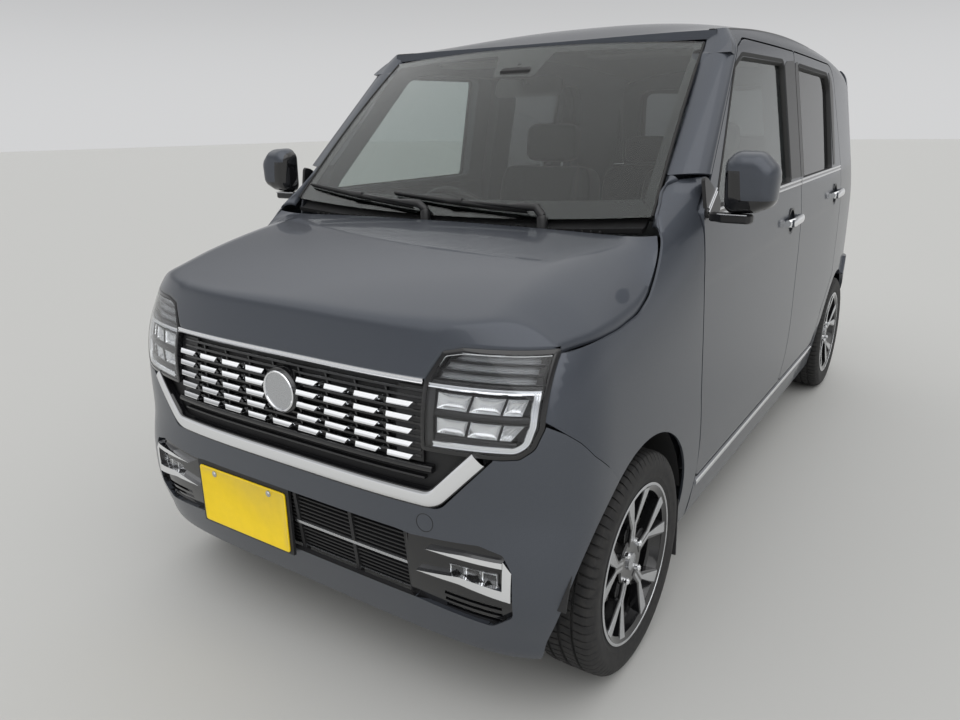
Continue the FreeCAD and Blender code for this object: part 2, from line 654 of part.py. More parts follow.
# Lamp: two rows of three chambers under a bright bar, with a bright hook round them, as (x, z)
LAMP_ROOMS = [[(434, 767), (502, 767), (510, 801), (434, 801)],
              [(506, 767), (571, 767), (579, 801), (514, 801)],
              [(575, 767), (616, 767, 6), (621, 801), (583, 801)],
              [(436, 713), (500, 713), (508, 748), (436, 748)],
              [(504, 713), (568, 713), (576, 748), (512, 748)],
              [(572, 713), (594, 713, 12), (617, 732), (620, 748), (580, 748)],
              [(424, 828), (640, 828), (640, 850), (432, 850)],
              [(434, 856), (640, 856), (640, 880), (464, 880)]]
LAMP_HOOK = [(431, 685), (606, 690, 20), (628, 708, 30), (641, 748), (641, 819), (GRILLE_X + 3, 819),
             (GRILLE_X + 3, 808), (629, 808), (629, 750), (618, 718, 30), (600, 703, 20), (443, 699)]


def headlamps():
    face = front_prism(LAMP_FACE, AHEAD_Y, LAMP_BACK_Y)
    rooms = fuse([front_prism(room, AHEAD_Y, LAMP_BACK_Y) for room in LAMP_ROOMS])
    frame = nose_shell(660, 900, 0, 19, 10, 8).common(face.cut(rooms))
    back = nose_shell(660, 900, -18, 44, 10, 8).common(face)
    hook = nose_shell(675, 825, 3, 10, 6, 20).common(front_prism(LAMP_HOOK, AHEAD_Y, LAMP_BACK_Y))
    return both(fuse([frame, back, hook]))


def windscreen():
    rows = []
    for share in span(-0.99, 0.99, 14):
        low = V(WINDSCREEN_CORNER[0] * share, WINDSCREEN_LOW[1] + 34 * share ** 2,
                WINDSCREEN_LOW[2] + 26 * share ** 2)
        top = V(WINDSCREEN_TOP_CORNER[0] * share, WINDSCREEN_TOP[1] + 32 * share ** 2,
                WINDSCREEN_TOP[2] - 19 * share ** 2)
        rows.append([low + (top - low) * t + V(0, -0.66, 0.75) * 14 * 4 * t * (1 - t)
                     for t in span(0.03, 0.985, 8)])
    return slab(rows, (0, 3.4, -3.7))


def wiper_cowl(screen):
    rows = [[V(x, y, WINDSCREEN_LOW[2] - 6 + 22 * (x / 628) ** 2 + 0.5 * (y - WINDSCREEN_LOW[1])) for y in
             span(-1050 + 30 * (x / 628) ** 2, -1006 + 24 * (x / 628) ** 2, 3)] for x in span(-600, 600, 12)]
    pieces = [slab(rows, (0, 0, -40)).cut(screen)]
    for pivot, tip in ((WIPER_RIGHT, -560), (WIPER_LEFT, -150)):
        pieces.append(rod((pivot, -1030, 1030), (pivot, -1038, 1082), 11))
        elbow = (pivot + (tip - pivot) * 0.55, -1046, 1116)
        pieces.append(rod((pivot, -1037, 1080), elbow, 8, 5))
        pieces.append(rod((pivot + (tip - pivot) * 0.08, -1052, 1104), (tip, -1034, 1122), 6))
    return fuse(pieces).cut(screen)


# Tail: tailgate with its spoiler and window, lamps and bumper
def tailgate():
    rows = [[V(x, tail_rear_y(x, z), z) for z in span(TAILGATE_LOW_Z, ROOF_EDGE_Z, 12)]
            for x in span(-TAILGATE_X, TAILGATE_X, 20)]
    top = [(x, roof_z(x, TAIL_Y - 97.5) - 16) for x in span(-TAILGATE_X, TAILGATE_X, 10)]
    edge = [(TAILGATE_X, TAILGATE_LOW_Z, 40), (-TAILGATE_X, TAILGATE_LOW_Z, 40)] + top
    face = front_prism(edge, TAIL_CUT_Y, BEHIND_Y)
    face = face.cut(front_prism(REAR_GLASS, TAIL_CUT_Y, BEHIND_Y))
    panel = slab(rows, (0, -TAILGATE_T, 0)).common(face)
    fin = [[V(x, y, roof_z(x, y) - 0.06 * (y - ROOF_REAR_Y)) for y in
            span(ROOF_REAR_Y + GAP, TAIL_Y - 21.5 - 40 * (x / TAILGATE_X) ** 2, 6)]
           for x in span(-TAILGATE_X, TAILGATE_X, 12)]
    fin = slab(fin, (0, 0, -26))
    panel = panel.cut(box(-700, 700, TAIL_CUT_Y - 100, ROOF_REAR_Y + GAP, HEIGHT - 235, HEIGHT + 25))
    y = tail_y(PLATE_REAR_Z)
    recess = box(-200, 200, y - 14, y + 60, PLATE_REAR_Z - 100, PLATE_REAR_Z + 110)
    panel = panel.cut(recess)
    for x in (-105, 105):
        panel = panel.cut(rod((x, TAIL_CUT_Y, PLATE_REAR_Z + 60), (x, BEHIND_Y, PLATE_REAR_Z + 60), 3.5))
    glass = slab([[p - V(0, 4, 0) for p in row] for row in rows], (0, -GLASS_T, 0))
    return fuse([panel, fin]), glass.common(front_prism(REAR_GLASS, TAIL_CUT_Y, BEHIND_Y))


def tail_lamps():
    zone = outline([(TAIL_LAMP_Y, TAIL_LAMP_LOW_Z + WELT), (TAIL_LAMP_Y, TAIL_LAMP_TOP_Z - WELT),
                    (BEHIND_Y, TAIL_LAMP_TOP_Z - WELT), (BEHIND_Y, TAIL_LAMP_LOW_Z + WELT)], "X",
                   TAILGATE_X + GAP, 800)
    return both(tail_shell(620, 1100, FRAME_IN - 10, 6, 0, 80).common(zone))


def rear_bumper():
    shell = tail_shell(228, TAIL_LAMP_LOW_Z - WELT, BUMPER_T, 10, 0, 180, 30, TAIL_LIFT)
    shell = shell.cut(box(-TAILGATE_X - GAP, TAILGATE_X + GAP, 1400, 1800, TAILGATE_LOW_Z - GAP, 900))
    shell = shell.cut(outline([(1430, 560), (TAIL_SIDE_Y, 560), (TAIL_SIDE_Y + 60, TAIL_LAMP_LOW_Z - 2),
                               (1430, 700)], "X", -900, 900))
    ledge = box(-TAILGATE_X, TAILGATE_X, 1600, 1690, 548, 562).common(tail_shell(540, 570, 90, 2, 20, 160))
    return fuse([shell, ledge]).cut(rod((-900, REAR_AXLE_Y, ARCH_Z), (900, REAR_AXLE_Y, ARCH_Z), REAR_ARCH_R))


# Wheels: plain tyre seated between the rim's flanges, alloy wheel with its hub, shaft and brake disc
def tyre(x, y):
    half = TYRE_W / 2
    side = [(RIM_R, -BEAD_X), (TYRE_R - 34, -half), (TYRE_R - 5, -half + 14), (TYRE_R, -half + 32)]
    return turned(side + [(r, -a) for r, a in side[::-1]], (x, y, TYRE_R), (1, 0, 0))


def rim(x, y):
    half = TYRE_W / 2
    outside = [(RIM_R + 8, -half + 12), (RIM_R, -half + 13), (RIM_R, -half + 26), (RIM_R - 22, -half + 44)]
    inside = [(RIM_R + 8, -half + 7), (RIM_R - 9, -half + 8), (RIM_R - 12, -half + 28),
              (RIM_R - 30, -half + 50)]
    barrel = outside + [(r, -a) for r, a in outside[::-1]] + [(r, -a) for r, a in inside] + inside[::-1]
    pieces = [turned(barrel, (x, y, TYRE_R), (1, 0, 0))]
    face = x + FACE_X
    hub = turned([(20, -6), (HUB_R, -6), (HUB_R, -34), (20, -34)], (face, y, TYRE_R), (1, 0, 0))
    cap = rod((face - 20, y, TYRE_R), (face - 4, y, TYRE_R), 28)
    pieces += [hub, cap]
    for i in range(SPOKES):
        stem = outline([(y - 19, TYRE_R + 44), (y + 19, TYRE_R + 44), (y + 12, TYRE_R + 118),
                        (y - 12, TYRE_R + 118)], "X", face - 30, face - 8)
        arms = [outline([(y - 11, TYRE_R + 100), (y + 11, TYRE_R + 100), (y + lean + 10, TYRE_R + RIM_R - 8),
                         (y + lean - 10, TYRE_R + RIM_R - 8)], "X", face - 26, face - 5)
                for lean in (-42, 42)]
        for bar in [stem] + arms:
            bar.rotate(V(x, y, TYRE_R), V(1, 0, 0), 360 * i / SPOKES)
            pieces.append(bar)
    pieces.append(rod((face - 96, y, TYRE_R), (face - 30, y, TYRE_R), SHAFT_R))
    pieces.append(rod((face - 66, y, TYRE_R), (face - 54, y, TYRE_R), DISC_R))
    pieces.append(rod((face - 60, y, TYRE_R), (face - 30, y, TYRE_R), 55))
    return fuse(pieces)


def kingpin(z):
    # steering axis, leaning inwards from the lower ball joint to the strut's top
    return (BALL_X - KINGPIN_LEAN * (z - BALL_Z), FRONT_AXLE_Y, z)


def knuckle():
    y, z = FRONT_AXLE_Y, TYRE_R
    bearing = rod((545, y, z), (642, y, z), 46)
    upright = outline([(y - 40, z - 80), (y + 40, z - 80), (y + 34, z + 90), (y + 20, z + 124),
                       (y - 20, z + 124), (y - 34, z + 90)], "X", 572, 604, 14)
    ball = rod(kingpin(BALL_Z + 4), kingpin(z - 60), 16)
    steering_arm = outline([(575, y + 20), (604, y + 20), (590, y + 118), (562, y + 118)], "Z", z - 30,
                           z - 12, 6)
    caliper = outline([(y + 66, z - 62), (y + 138, z - 48), (y + 138, z + 48), (y + 66, z + 62)], "X", 600,
                      676, 14)
    slot = rod((642, y, z), (668, y, z), DISC_R + 6)
    link = box(580, 604, y + 20, y + 90, z - 24, z + 24)
    strut = rod(kingpin(z + 30), kingpin(z + 330), 20)
    spring_low, spring_top = TOWER_Z - 92, TOWER_Z - GAP - 10
    seat = rod(kingpin(spring_low), kingpin(spring_low + 8), 54)
    coil = rod(kingpin(spring_low + 8), kingpin(spring_top), 44)
    pin = rod(kingpin(spring_top - 20), kingpin(TOWER_Z + 30), 8)
    shape = fuse([bearing, upright, ball, steering_arm, caliper.cut(slot), link, strut, seat, coil, pin])
    return shape.cut(rod((500, y, z), (720, y, z), SHAFT_R + BEARING_GAP))


# Running gear under the floor
def front_subframe():
    y = FRONT_AXLE_Y
    cross = outline([(-330, y + 150), (330, y + 150), (360, y + 20), (300, y - 60), (-300, y - 60),
                     (-360, y + 20)], "Z", 172, 214, 30)
    pieces = [cross, box(-300, 300, y + 110, y + 150, 214, 232), box(-40, 40, y + 106, y + 150, 214, 250),
              rod((-330, y + 130, 262), (330, y + 130, 262), 24)]
    for s in (-1, 1):
        arm = outline([(s * 310, y + 130), (s * 340, y + 40), (s * 585, y + 20), (s * 622, y),
                       (s * 585, y - 22), (s * 330, y - 50), (s * 300, y - 20)], "Z", 168, 190, 16)
        pieces.append(arm)
        pieces.append(rod((s * 330, y + 130, 262), (s * 470, y + 128, 262), 9))
    return fuse(pieces)


def rear_axle():
    y = REAR_AXLE_Y
    pieces = [outline([(y - 200, 250), (y - 140, 250), (y - 140, 330), (y - 200, 330)], "X", -520, 520, 12)]
    for s in (-1, 1):
        arm = outline([(s * 470, y - 322), (s * 530, y - 322), (s * 556, y - 20), (s * 556, y + 60),
                       (s * 500, y + 60)], "Z", 250, 318, 16)
        pieces += [arm, rod((s * 550, y, TYRE_R), (s * 642, y, TYRE_R), 42), box(min(s * 540, s * 560),
                   max(s * 540, s * 560), y - 50, y + 50, 232, 330)]
        pieces.append(rod((s * 500, y - 30, 316), (s * 500, y - 30, SPRING_TOP_Z), 34))
        pieces.append(rod((s * 512, y + 50, 300), (s * 512, y + 50, SPRING_TOP_Z), 17))
    shape = fuse(pieces)
    return shape.cut(rod((-720, y, TYRE_R), (720, y, TYRE_R), SHAFT_R + BEARING_GAP))


def exhaust():
    route = [V(-60, -1010, 175), V(-60, -700, 178), V(-160, -560, 178), V(-160, 640, 178), V(-120, 820, 182),
             V(-120, 900, 189)]
    pieces = [rod(tuple(a), tuple(b), 22) for a, b in zip(route, route[1:])]
    pieces += [Part.makeSphere(22, p) for p in route[1:-1]]
    pieces.append(outline([(-260, 170), (120, 170), (120, 300), (-260, 300)], "Y", 1480, 1600, 50))
    pieces.append(outline([(-225, 152), (-96, 152), (-96, 208), (-225, 208)], "Y", -260, 120, 22))
    rise = [V(-120, 900, 189), V(-40, 1050, 372), V(-40, 1400, 372), V(-100, 1490, 260)]
    pieces += [rod(tuple(a), tuple(b), 20) for a, b in zip(rise, rise[1:])]
    pieces += [Part.makeSphere(20, p) for p in rise[1:]]
    pieces.append(rod((60, 1590, 215), (60, 1652, 208), 20))
    return fuse(pieces)


def fuel_tank():
    top = FLOOR_HUMP - FLOOR_T - 1
    return outline([(-230, 170), (280, 170), (300, 230), (290, top), (-340, top), (-350, 230)], "X", -90,
                   430, 26)


def engine_block():
    return outline([(-1500, 300), (-1110, 300), (-1090, 420), (-1120, 780), (-1420, 780), (-1500, 640)], "X",
                   -330, 320, 20)


# Floor pan with bulkhead, wheel houses, front rails, radiator and bumper beams
def underbody():
    t = FLOOR_T
    top = [(-905, 1004), (-905, 237), (-470, 237), (-420, FLOOR_HUMP), (300, FLOOR_HUMP), (350, 237),
           (860, 237), (920, LOAD_FLOOR_Z), (1576, LOAD_FLOOR_Z), (1576, 556)]
    low = [(1600, 556), (1600, LOAD_FLOOR_Z - t), (935, LOAD_FLOOR_Z - t), (875, 237 - t), (335, 237 - t),
           (285, FLOOR_HUMP - t), (-405, FLOOR_HUMP - t), (-455, 237 - t), (-927, 237 - t), (-927, 1004)]
    floor = outline(top + low, "X", -618, 618)
    for x0, x1 in ((548, 700), (-700, -548)):
        floor = floor.cut(arch(REAR_AXLE_Y, REAR_ARCH_R, x0, x1))
    pieces = [floor]
    for s in (-1, 1):
        x = sorted((s * 534, s * 618))
        house = rod((x[0], REAR_AXLE_Y, ARCH_Z), (x[1], REAR_AXLE_Y, ARCH_Z), REAR_ARCH_R + 8)
        inner = sorted((s * 548, s * 700))
        house = house.cut(rod((inner[0], REAR_AXLE_Y, ARCH_Z), (inner[1], REAR_AXLE_Y, ARCH_Z), REAR_ARCH_R))
        house = house.common(box(-700, 700, 900, 1640, LOAD_FLOOR_Z - t, 700))
        pieces.append(house)
        rail = sorted((s * 372, s * 408))
        pieces.append(box(rail[0], rail[1], -1602, -927, 330, 420))
        pieces.append(box(rail[0] + 12, rail[1] - 12, -1560, -927, 420, 790))
        tower = sorted((s * 384, s * 600))
        x, y, z = kingpin(TOWER_Z + 10)
        pieces.append(box(tower[0], tower[1], FRONT_AXLE_Y - 75, FRONT_AXLE_Y + 80, TOWER_Z, 770).cut(
            rod((s * x, y, TOWER_Z - 10), (s * x, y, TOWER_Z + 50), 20)))
        pieces.append(box(min(s * 330, s * 372), max(s * 330, s * 372), 1600, 1630, 380, 480))
    pieces.append(box(-540, 540, -1634, -1602, 396, 500))
    pieces.append(box(-372, 372, -1598, -1574, 262, 760))
    pieces.append(box(-560, 560, 1600, 1650, 380, 480))
    return fuse(pieces)


# Cabin
def dashboard():
    shape = outline([(-905, 640), (-905, 1004), (-1000, 1008), (-1000, 1030), (-720, 1046, 60),
                     (-590, 1010, 50), (-566, 900, 40), (-610, 800, 30), (-660, 640, 30)], "X", -612, 612)
    screen = outline([(-110, 905), (110, 905), (110, 1030), (-110, 1030)], "Y", -620, -560, 10)
    console = outline([(-130, 560), (130, 560), (130, 820), (-130, 820)], "Y", -700, -600, 30)
    return fuse([shape, screen, console])


def steering_wheel(dash):
    at = V(-345, -455, 930)
    tilt = V(0, -0.90, -0.43)
    ring = Part.makeTorus(178, 14, at, tilt)
    hub = Part.makeCylinder(62, 40, at + tilt * 10, tilt)
    pieces = [ring, hub]
    side = V(1, 0, 0)
    down = side.cross(tilt)
    for way in (side, side * -1, down * (1 if down.z < 0 else -1)):
        a, b = at + way * 40 + tilt * 24, at + way * 172
        pieces.append(rod(tuple(a), tuple(b), 13))
    pieces.append(Part.makeCylinder(34, 150, at + tilt * 40, tilt))
    return fuse(pieces).cut(dash)


def front_seats():
    back = outline([(100, 520, 50), (195, 1130, 60), (300, 1120, 60), (262, 500, 60)], "X", 110, 570)
    cushion = outline([(-370, 430, 40), (-390, 545, 50), (120, 520, 60), (250, 500, 40), (250, 420, 30)], "X",
                      110, 570)
    base = box(150, 530, -300, 220, FLOOR_HUMP, 432)
    head = outline([(205, 1160, 40), (215, 1320, 50), (315, 1325, 50), (300, 1150, 40)], "X", 215, 465)
    posts = fuse([rod((x, 245, 1090), (x, 255, 1180), 7) for x in (290, 390)])
    seat = fuse([cushion, base, back, head, posts])
    return both(seat)


def rear_seat():
    cushion = outline([(640, 420, 40), (620, 560, 60), (1080, 530, 60), (1160, 520), (1160, LOAD_FLOOR_Z),
                       (912, LOAD_FLOOR_Z), (880, 404), (700, 404)], "X", -540, 540)
    back = outline([(1075, 500, 30), (1180, 1090, 60), (1280, 1080, 50), (1200, LOAD_FLOOR_Z, 20),
                    (1120, LOAD_FLOOR_Z)], "X", -532, 532)
    base = box(-520, 520, 700, 840, 237, 420)
    pieces = [cushion, back, base]
    for x in (-290, 290):
        pieces.append(outline([(1175, 1120, 30), (1190, 1245, 40), (1275, 1240, 40), (1265, 1110, 30)], "X",
                              x - 120, x + 120))
        pieces += [rod((at, 1225, 1070), (at, 1228, 1130), 6) for at in (x - 45, x + 45)]
    return fuse(pieces)


# The whole car
parts = {}
roof = roof_panel()
parts["roof_panel"] = roof
for name, maker in (("side_frame", lambda: body_side(roof)), ("fender", wing)):
    left = maker()
    parts[name + "_left"] = left
    parts[name + "_right"] = mirror(left)
for place, edge, window, handle_at in (("front", FRONT_DOOR, FRONT_WINDOW, (70, 975)),
                                       ("rear", REAR_DOOR, REAR_WINDOW, (925, 1003))):
    panel, glass = door(edge, window, handle_at)
    for side, turn in (("left", lambda s: s), ("right", mirror)):
        parts["door_%s_%s" % (place, side)] = turn(panel)
        parts["glass_%s_%s" % (place, side)] = turn(glass)
parts["mirror_left"] = mirror_unit(parts["door_front_left"])
parts["mirror_right"] = mirror(parts["mirror_left"])
parts["bonnet"] = bonnet()
parts["front_bumper"] = front_bumper()
parts["grille"] = grille()
parts["headlamps"] = headlamps()

screen = windscreen()
for side in ("left", "right"):
    screen = screen.cut(parts["side_frame_" + side]).cut(parts["fender_" + side])
parts["windscreen"] = screen
parts["wiper_cowl"] = wiper_cowl(screen)
parts["tailgate"], parts["tailgate_glass"] = tailgate()
parts["tail_lamps"] = tail_lamps()
parts["rear_bumper"] = rear_bumper()
for place, y in (("front", FRONT_AXLE_Y), ("rear", REAR_AXLE_Y)):
    rim_left = rim(WHEEL_X, y)
    tyre_left = tyre(WHEEL_X, y)
    for side, turn in (("left", lambda s: s), ("right", mirror)):
        parts["tyre_%s_%s" % (place, side)] = turn(tyre_left)
        parts["rim_%s_%s" % (place, side)] = turn(rim_left)
parts["knuckle_left"] = knuckle()
parts["knuckle_right"] = mirror(parts["knuckle_left"])
parts["front_subframe"] = front_subframe()
parts["rear_axle"] = rear_axle()
parts["exhaust"] = exhaust()
parts["fuel_tank"] = fuel_tank()
parts["engine_block"] = engine_block()
parts["underbody"] = underbody().cut(parts["side_frame_left"]).cut(parts["side_frame_right"])
parts["dashboard"] = dashboard()
parts["steering_wheel"] = steering_wheel(parts["dashboard"])
parts["front_seats"] = front_seats()
parts["rear_seat"] = rear_seat().cut(parts["underbody"])

os.makedirs("parts", exist_ok=True)
for name, shape in parts.items():
    shape.exportStep("parts/%s.step" % name)
    print(name, shape.isValid(), len(shape.Solids), round(shape.Volume / 1e6, 2), shape.BoundBox)
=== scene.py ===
import math

import bmesh
import bpy
import numpy as np
from mathutils import Matrix, Vector
from mathutils.geometry import delaunay_2d_cdt


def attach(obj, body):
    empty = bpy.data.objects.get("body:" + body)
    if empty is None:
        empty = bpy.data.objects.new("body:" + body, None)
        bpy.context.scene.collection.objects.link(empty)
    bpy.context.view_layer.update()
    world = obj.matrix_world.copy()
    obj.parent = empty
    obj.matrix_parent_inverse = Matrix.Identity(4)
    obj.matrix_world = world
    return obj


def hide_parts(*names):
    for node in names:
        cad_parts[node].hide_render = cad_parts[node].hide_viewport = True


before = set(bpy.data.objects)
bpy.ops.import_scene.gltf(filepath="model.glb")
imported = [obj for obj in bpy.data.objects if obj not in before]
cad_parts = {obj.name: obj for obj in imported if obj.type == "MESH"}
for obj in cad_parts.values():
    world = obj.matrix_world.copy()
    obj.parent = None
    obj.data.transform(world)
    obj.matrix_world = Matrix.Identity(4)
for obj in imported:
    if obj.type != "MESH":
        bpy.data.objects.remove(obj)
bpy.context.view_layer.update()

bl_info = {
    "name": "Kei car finish",
    "version": (1, 0, 0),
    "blender": (4, 5, 0),
    "location": "View3D > Sidebar > Kei car",
    "description": "Paint, glass, lamps, wheels, trim and cabin for a small tall hatchback",
    "category": "Object",
}

# Body surfaces, in metres: the nose points to -Y and the car's left side is +X
HALF_WIDTH = 0.7375
HEIGHT = 1.675
NOSE_Y, NOSE_SIDE_Y = -1.6975, -1.380
TAIL_Y, TAIL_SIDE_Y = 1.6975, 1.440
DOOR_FRONT_Y = -0.905
AXLE_Y = (-1.250, 1.270)
TYRE_R = 0.281
WHEEL_X = 0.6525
ARCH_Z, ARCH_R = 0.266, 0.345
SIDES = (("left", 1.0), ("right", -1.0))
STEP = 0.002


def ramp(d, width):
    """A ramp with a soft start: the mean of d and the hypotenuse of d and width."""
    return 0.5 * (d + np.hypot(d, width))


def over(d):
    """What d has above zero, and zero below it."""
    return np.maximum(0.0, d)


def nose_y(z):
    """Centre line of the nose: upright, leaning back above the grille and under the chin."""
    return NOSE_Y + 0.0035 + 0.28 * ramp(z - 0.755, 0.030) + 0.6 * over(0.480 - z) ** 2


def nose_power(z):
    """Squareness of the plan corners: 3.5, growing to 5 at the chin."""
    return 3.5 + 1.5 * np.clip((0.540 - z) / 0.210, 0.0, 1.0)


def tail_y(z):
    """Centre line of the tail: upright below the belt, leaning forward above it."""
    return TAIL_Y - 0.014 - 0.115 * ramp(z - 1.080, 0.090) - 0.5 * over(0.430 - z) ** 2


def roof_edge_z(y):
    """Height of the roof's side edge: a parabola along the car, highest at y 0.38 m."""
    return 1.606 - 0.052 * (y - 0.380) ** 2


def flank_x(y, z, tapered=False):
    """Half width: barrel section below, lean above 1 m, roll into the roof rail, taper at the shoulder."""
    low = 0.048 * (over(0.600 - z) / 0.420) ** 2
    lean = 0.165 * ramp(z - 1.000, 0.080)
    rear = 0.026 * (over(y - 0.900) / 0.700) ** 2
    rail = 0.038 * (over(z - roof_edge_z(y) + 0.066) / 0.066) ** 2
    half = HALF_WIDTH - 0.002 - low - lean - rear - rail
    if tapered:
        post = DOOR_FRONT_Y + 0.005 + 0.55 * over(z - 1.050)
        taper = 0.043 * np.exp((z - 0.885) / 0.097) * (over(post - y) / 0.500) ** 1.3
        half = half - taper / (1 + (taper / 0.300) ** 4) ** 0.25
    return half


def tail_power(z):
    """Squareness of the rear plan corners: 4.2 at every height."""
    return np.full(np.shape(z), 4.2)


def side_x(y, z, tapered=False):
    """The flank, rounded in plan by a superellipse ahead of the nose line and behind the tail line."""
    y, z = np.broadcast_arrays(np.asarray(y, float), np.asarray(z, float))
    x = flank_x(y, z, tapered)
    ahead = over((NOSE_SIDE_Y - y) / (NOSE_SIDE_Y - nose_y(z)))
    behind = over((y - TAIL_SIDE_Y) / (tail_y(z) - TAIL_SIDE_Y))
    for share, power in ((ahead, nose_power(z)), (behind, tail_power(z))):
        x = x * over(1 - share ** power) ** (1 / power)
    return x


def end_point(turn, z, lift, side_y, middle_y, power, way):
    """Point of an end's superellipse at a plan angle in degrees, 0 on the flank and 90 in the middle, moved
    out by lift."""
    turn, z = np.broadcast_arrays(np.asarray(turn, float), np.asarray(z, float))
    c, s, n = np.cos(np.radians(turn)), np.sin(np.radians(turn)), power(z)
    size = (np.abs(c) ** n + np.abs(s) ** n) ** (1 / n)
    y = side_y + (middle_y(z) - side_y) * s / size
    return np.stack([flank_x(y, z, True) * c / size + lift * c, y + way * lift * s, z], -1)


def nose_point(turn, z, lift=0.0):
    """Point of the nose at a plan angle and a height."""
    return end_point(turn, z, lift, NOSE_SIDE_Y, nose_y, nose_power, -1.0)


def tail_point(turn, z, lift=0.0):
    """Point of the tail at a plan angle and a height."""
    return end_point(turn, z, lift, TAIL_SIDE_Y, tail_y, tail_power, 1.0)


def face_y(x, z, point=nose_point):
    """Where the nose or tail surface is at x and z, by halving the plan angle for all points at once."""
    x, z = np.broadcast_arrays(np.abs(np.asarray(x, float)), np.asarray(z, float))
    low, high = np.full(x.shape, 2.0), np.full(x.shape, 90.0)
    for _ in range(34):
        mid = (low + high) / 2
        outside = point(mid, z)[..., 0] > x
        low, high = np.where(outside, mid, low), np.where(outside, high, mid)
    return point(low, z)[..., 1]


def raised(points, normals, lift):
    """Points moved along their normals by lift."""
    return points + normals / np.linalg.norm(normals, axis=-1, keepdims=True) * np.asarray(lift)[..., None]


def on_face(x, z, lift, point, way):
    """Points on the nose or tail at x and z, raised by lift. The normal comes from small steps to each
    side."""
    x, z, lift = np.broadcast_arrays(*[np.asarray(value, float) for value in (x, z, lift)])
    e = STEP
    slope_x = (face_y(x + e, z, point) - face_y(x - e, z, point)) / (2 * e)
    slope_z = (face_y(x, z + e, point) - face_y(x, z - e, point)) / (2 * e)
    normals = np.stack([-way * slope_x, way * np.ones_like(slope_x), -way * slope_z], -1)
    return raised(np.stack([x, face_y(x, z, point), z], -1), normals, lift)


def on_nose(x, z, lift=0.0):
    """Points on the nose at x and z, raised by lift."""
    return on_face(x, z, lift, nose_point, -1.0)


def on_tail(x, z, lift=0.0):
    """Points on the tail at x and z, raised by lift."""
    return on_face(x, z, lift, tail_point, 1.0)


def on_flank(y, z, lift=0.0):
    """Points on the left flank at y and z, raised by lift."""
    y, z, lift = np.broadcast_arrays(*[np.asarray(value, float) for value in (y, z, lift)])
    e = STEP
    slope_y = (side_x(y + e, z) - side_x(y - e, z)) / (2 * e)
    slope_z = (side_x(y, z + e) - side_x(y, z - e)) / (2 * e)
    normals = np.stack([np.ones_like(slope_y), -slope_y, -slope_z], -1)
    return raised(np.stack([side_x(y, z), y, z], -1), normals, lift)


# Windscreen: the x, y and z of its side edge at the foot, and how far it goes to reach the top
SCREEN_FOOT = np.array([0.628, -1.018, 1.078])
SCREEN_RUN = np.array([-0.062, 0.510, 0.463])


def screen_edge(z):
    """Points on the windscreen's left edge at a height."""
    return SCREEN_FOOT + SCREEN_RUN * (z[..., None] - SCREEN_FOOT[2]) / SCREEN_RUN[2]


def on_screen(x, t, lift=0.0):
    """Points on the windscreen: a share t of the way up a ruled sheet between two bowed edges, crowned by 14
    mm. x is the offset in metres at that height; lift is measured square to the sheet."""
    x, t, lift = np.broadcast_arrays(*[np.asarray(value, float) for value in (x, t, lift)])
    share = x / (SCREEN_FOOT[0] + SCREEN_RUN[0] * t)
    low = np.stack([0.628 * share, -1.052 + 0.034 * share ** 2, 1.052 + 0.026 * share ** 2], -1)
    top = np.stack([0.566 * share, -0.540 + 0.032 * share ** 2, 1.560 - 0.019 * share ** 2], -1)
    crown = 0.014 * 4 * t * (1 - t)
    return low + (top - low) * t[..., None] + np.array([0.0, -0.66, 0.75]) * (crown + lift)[..., None]


def roof_z(x, y):
    """Roof height: a crown along the middle falling to the rail with the 2.6th power of the offset."""
    x, y = np.broadcast_arrays(np.asarray(x, float), np.asarray(y, float))
    bow = np.where(y < 0.300, 0.16, 0.033)
    crown = HEIGHT - bow * (y - 0.300) ** 2
    return crown - (crown - roof_edge_z(y)) * (np.abs(x) / 0.600) ** 2.6


# Mesh helpers: each returns (points, faces), and pieces join several of them
def quads(rows, columns, wrap_u=False, wrap_v=False):
    """Quads of a grid of rows by columns points, closed in either direction if it wraps."""
    i, j = np.meshgrid(np.arange(rows - (not wrap_u)), np.arange(columns - (not wrap_v)), indexing="ij")
    i2, j2 = (i + 1) % rows, (j + 1) % columns
    corners = [i * columns + j, i2 * columns + j, i2 * columns + j2, i * columns + j2]
    return np.stack(corners, -1).reshape(-1, 4).tolist()


def grid(points, wrap_u=True, wrap_v=True):
    """A surface from an array of points (rows, columns, 3)."""
    return points.reshape(-1, 3), quads(points.shape[0], points.shape[1], wrap_u, wrap_v)


def capped(rings):
    """A solid from a stack of closed rings (rings, points, 3), with its first and last ring filled."""
    rows, n = rings.shape[:2]
    ends = [list(range(n))[::-1], [(rows - 1) * n + i for i in range(n)]]
    return rings.reshape(-1, 3), quads(rows, n, False, True) + ends


def join(parts):
    """Several (points, faces) as one."""
    points, faces, start = [], [], 0
    for p, f in parts:
        p = np.asarray(p, float).reshape(-1, 3)
        points.append(p)
        faces += [[i + start for i in face] for face in f]
        start += len(p)
    return np.concatenate(points), faces


def mirrored(part):
    """The part on the car's other side, with its faces turned round."""
    points, faces = part
    return np.asarray(points) * (-1.0, 1.0, 1.0), [list(f)[::-1] for f in faces]


def both(part):
    """The part and its mirror image."""
    return join([part, mirrored(part)])


def moved(part, offset):
    """The part shifted by an offset."""
    return np.asarray(part[0]) + np.asarray(offset, float), part[1]


def turned(part, axis, degrees):
    """The part turned about an axis through the origin."""
    m = np.array(Matrix.Rotation(math.radians(degrees), 3, Vector(axis)))
    return np.asarray(part[0]) @ m.T, part[1]


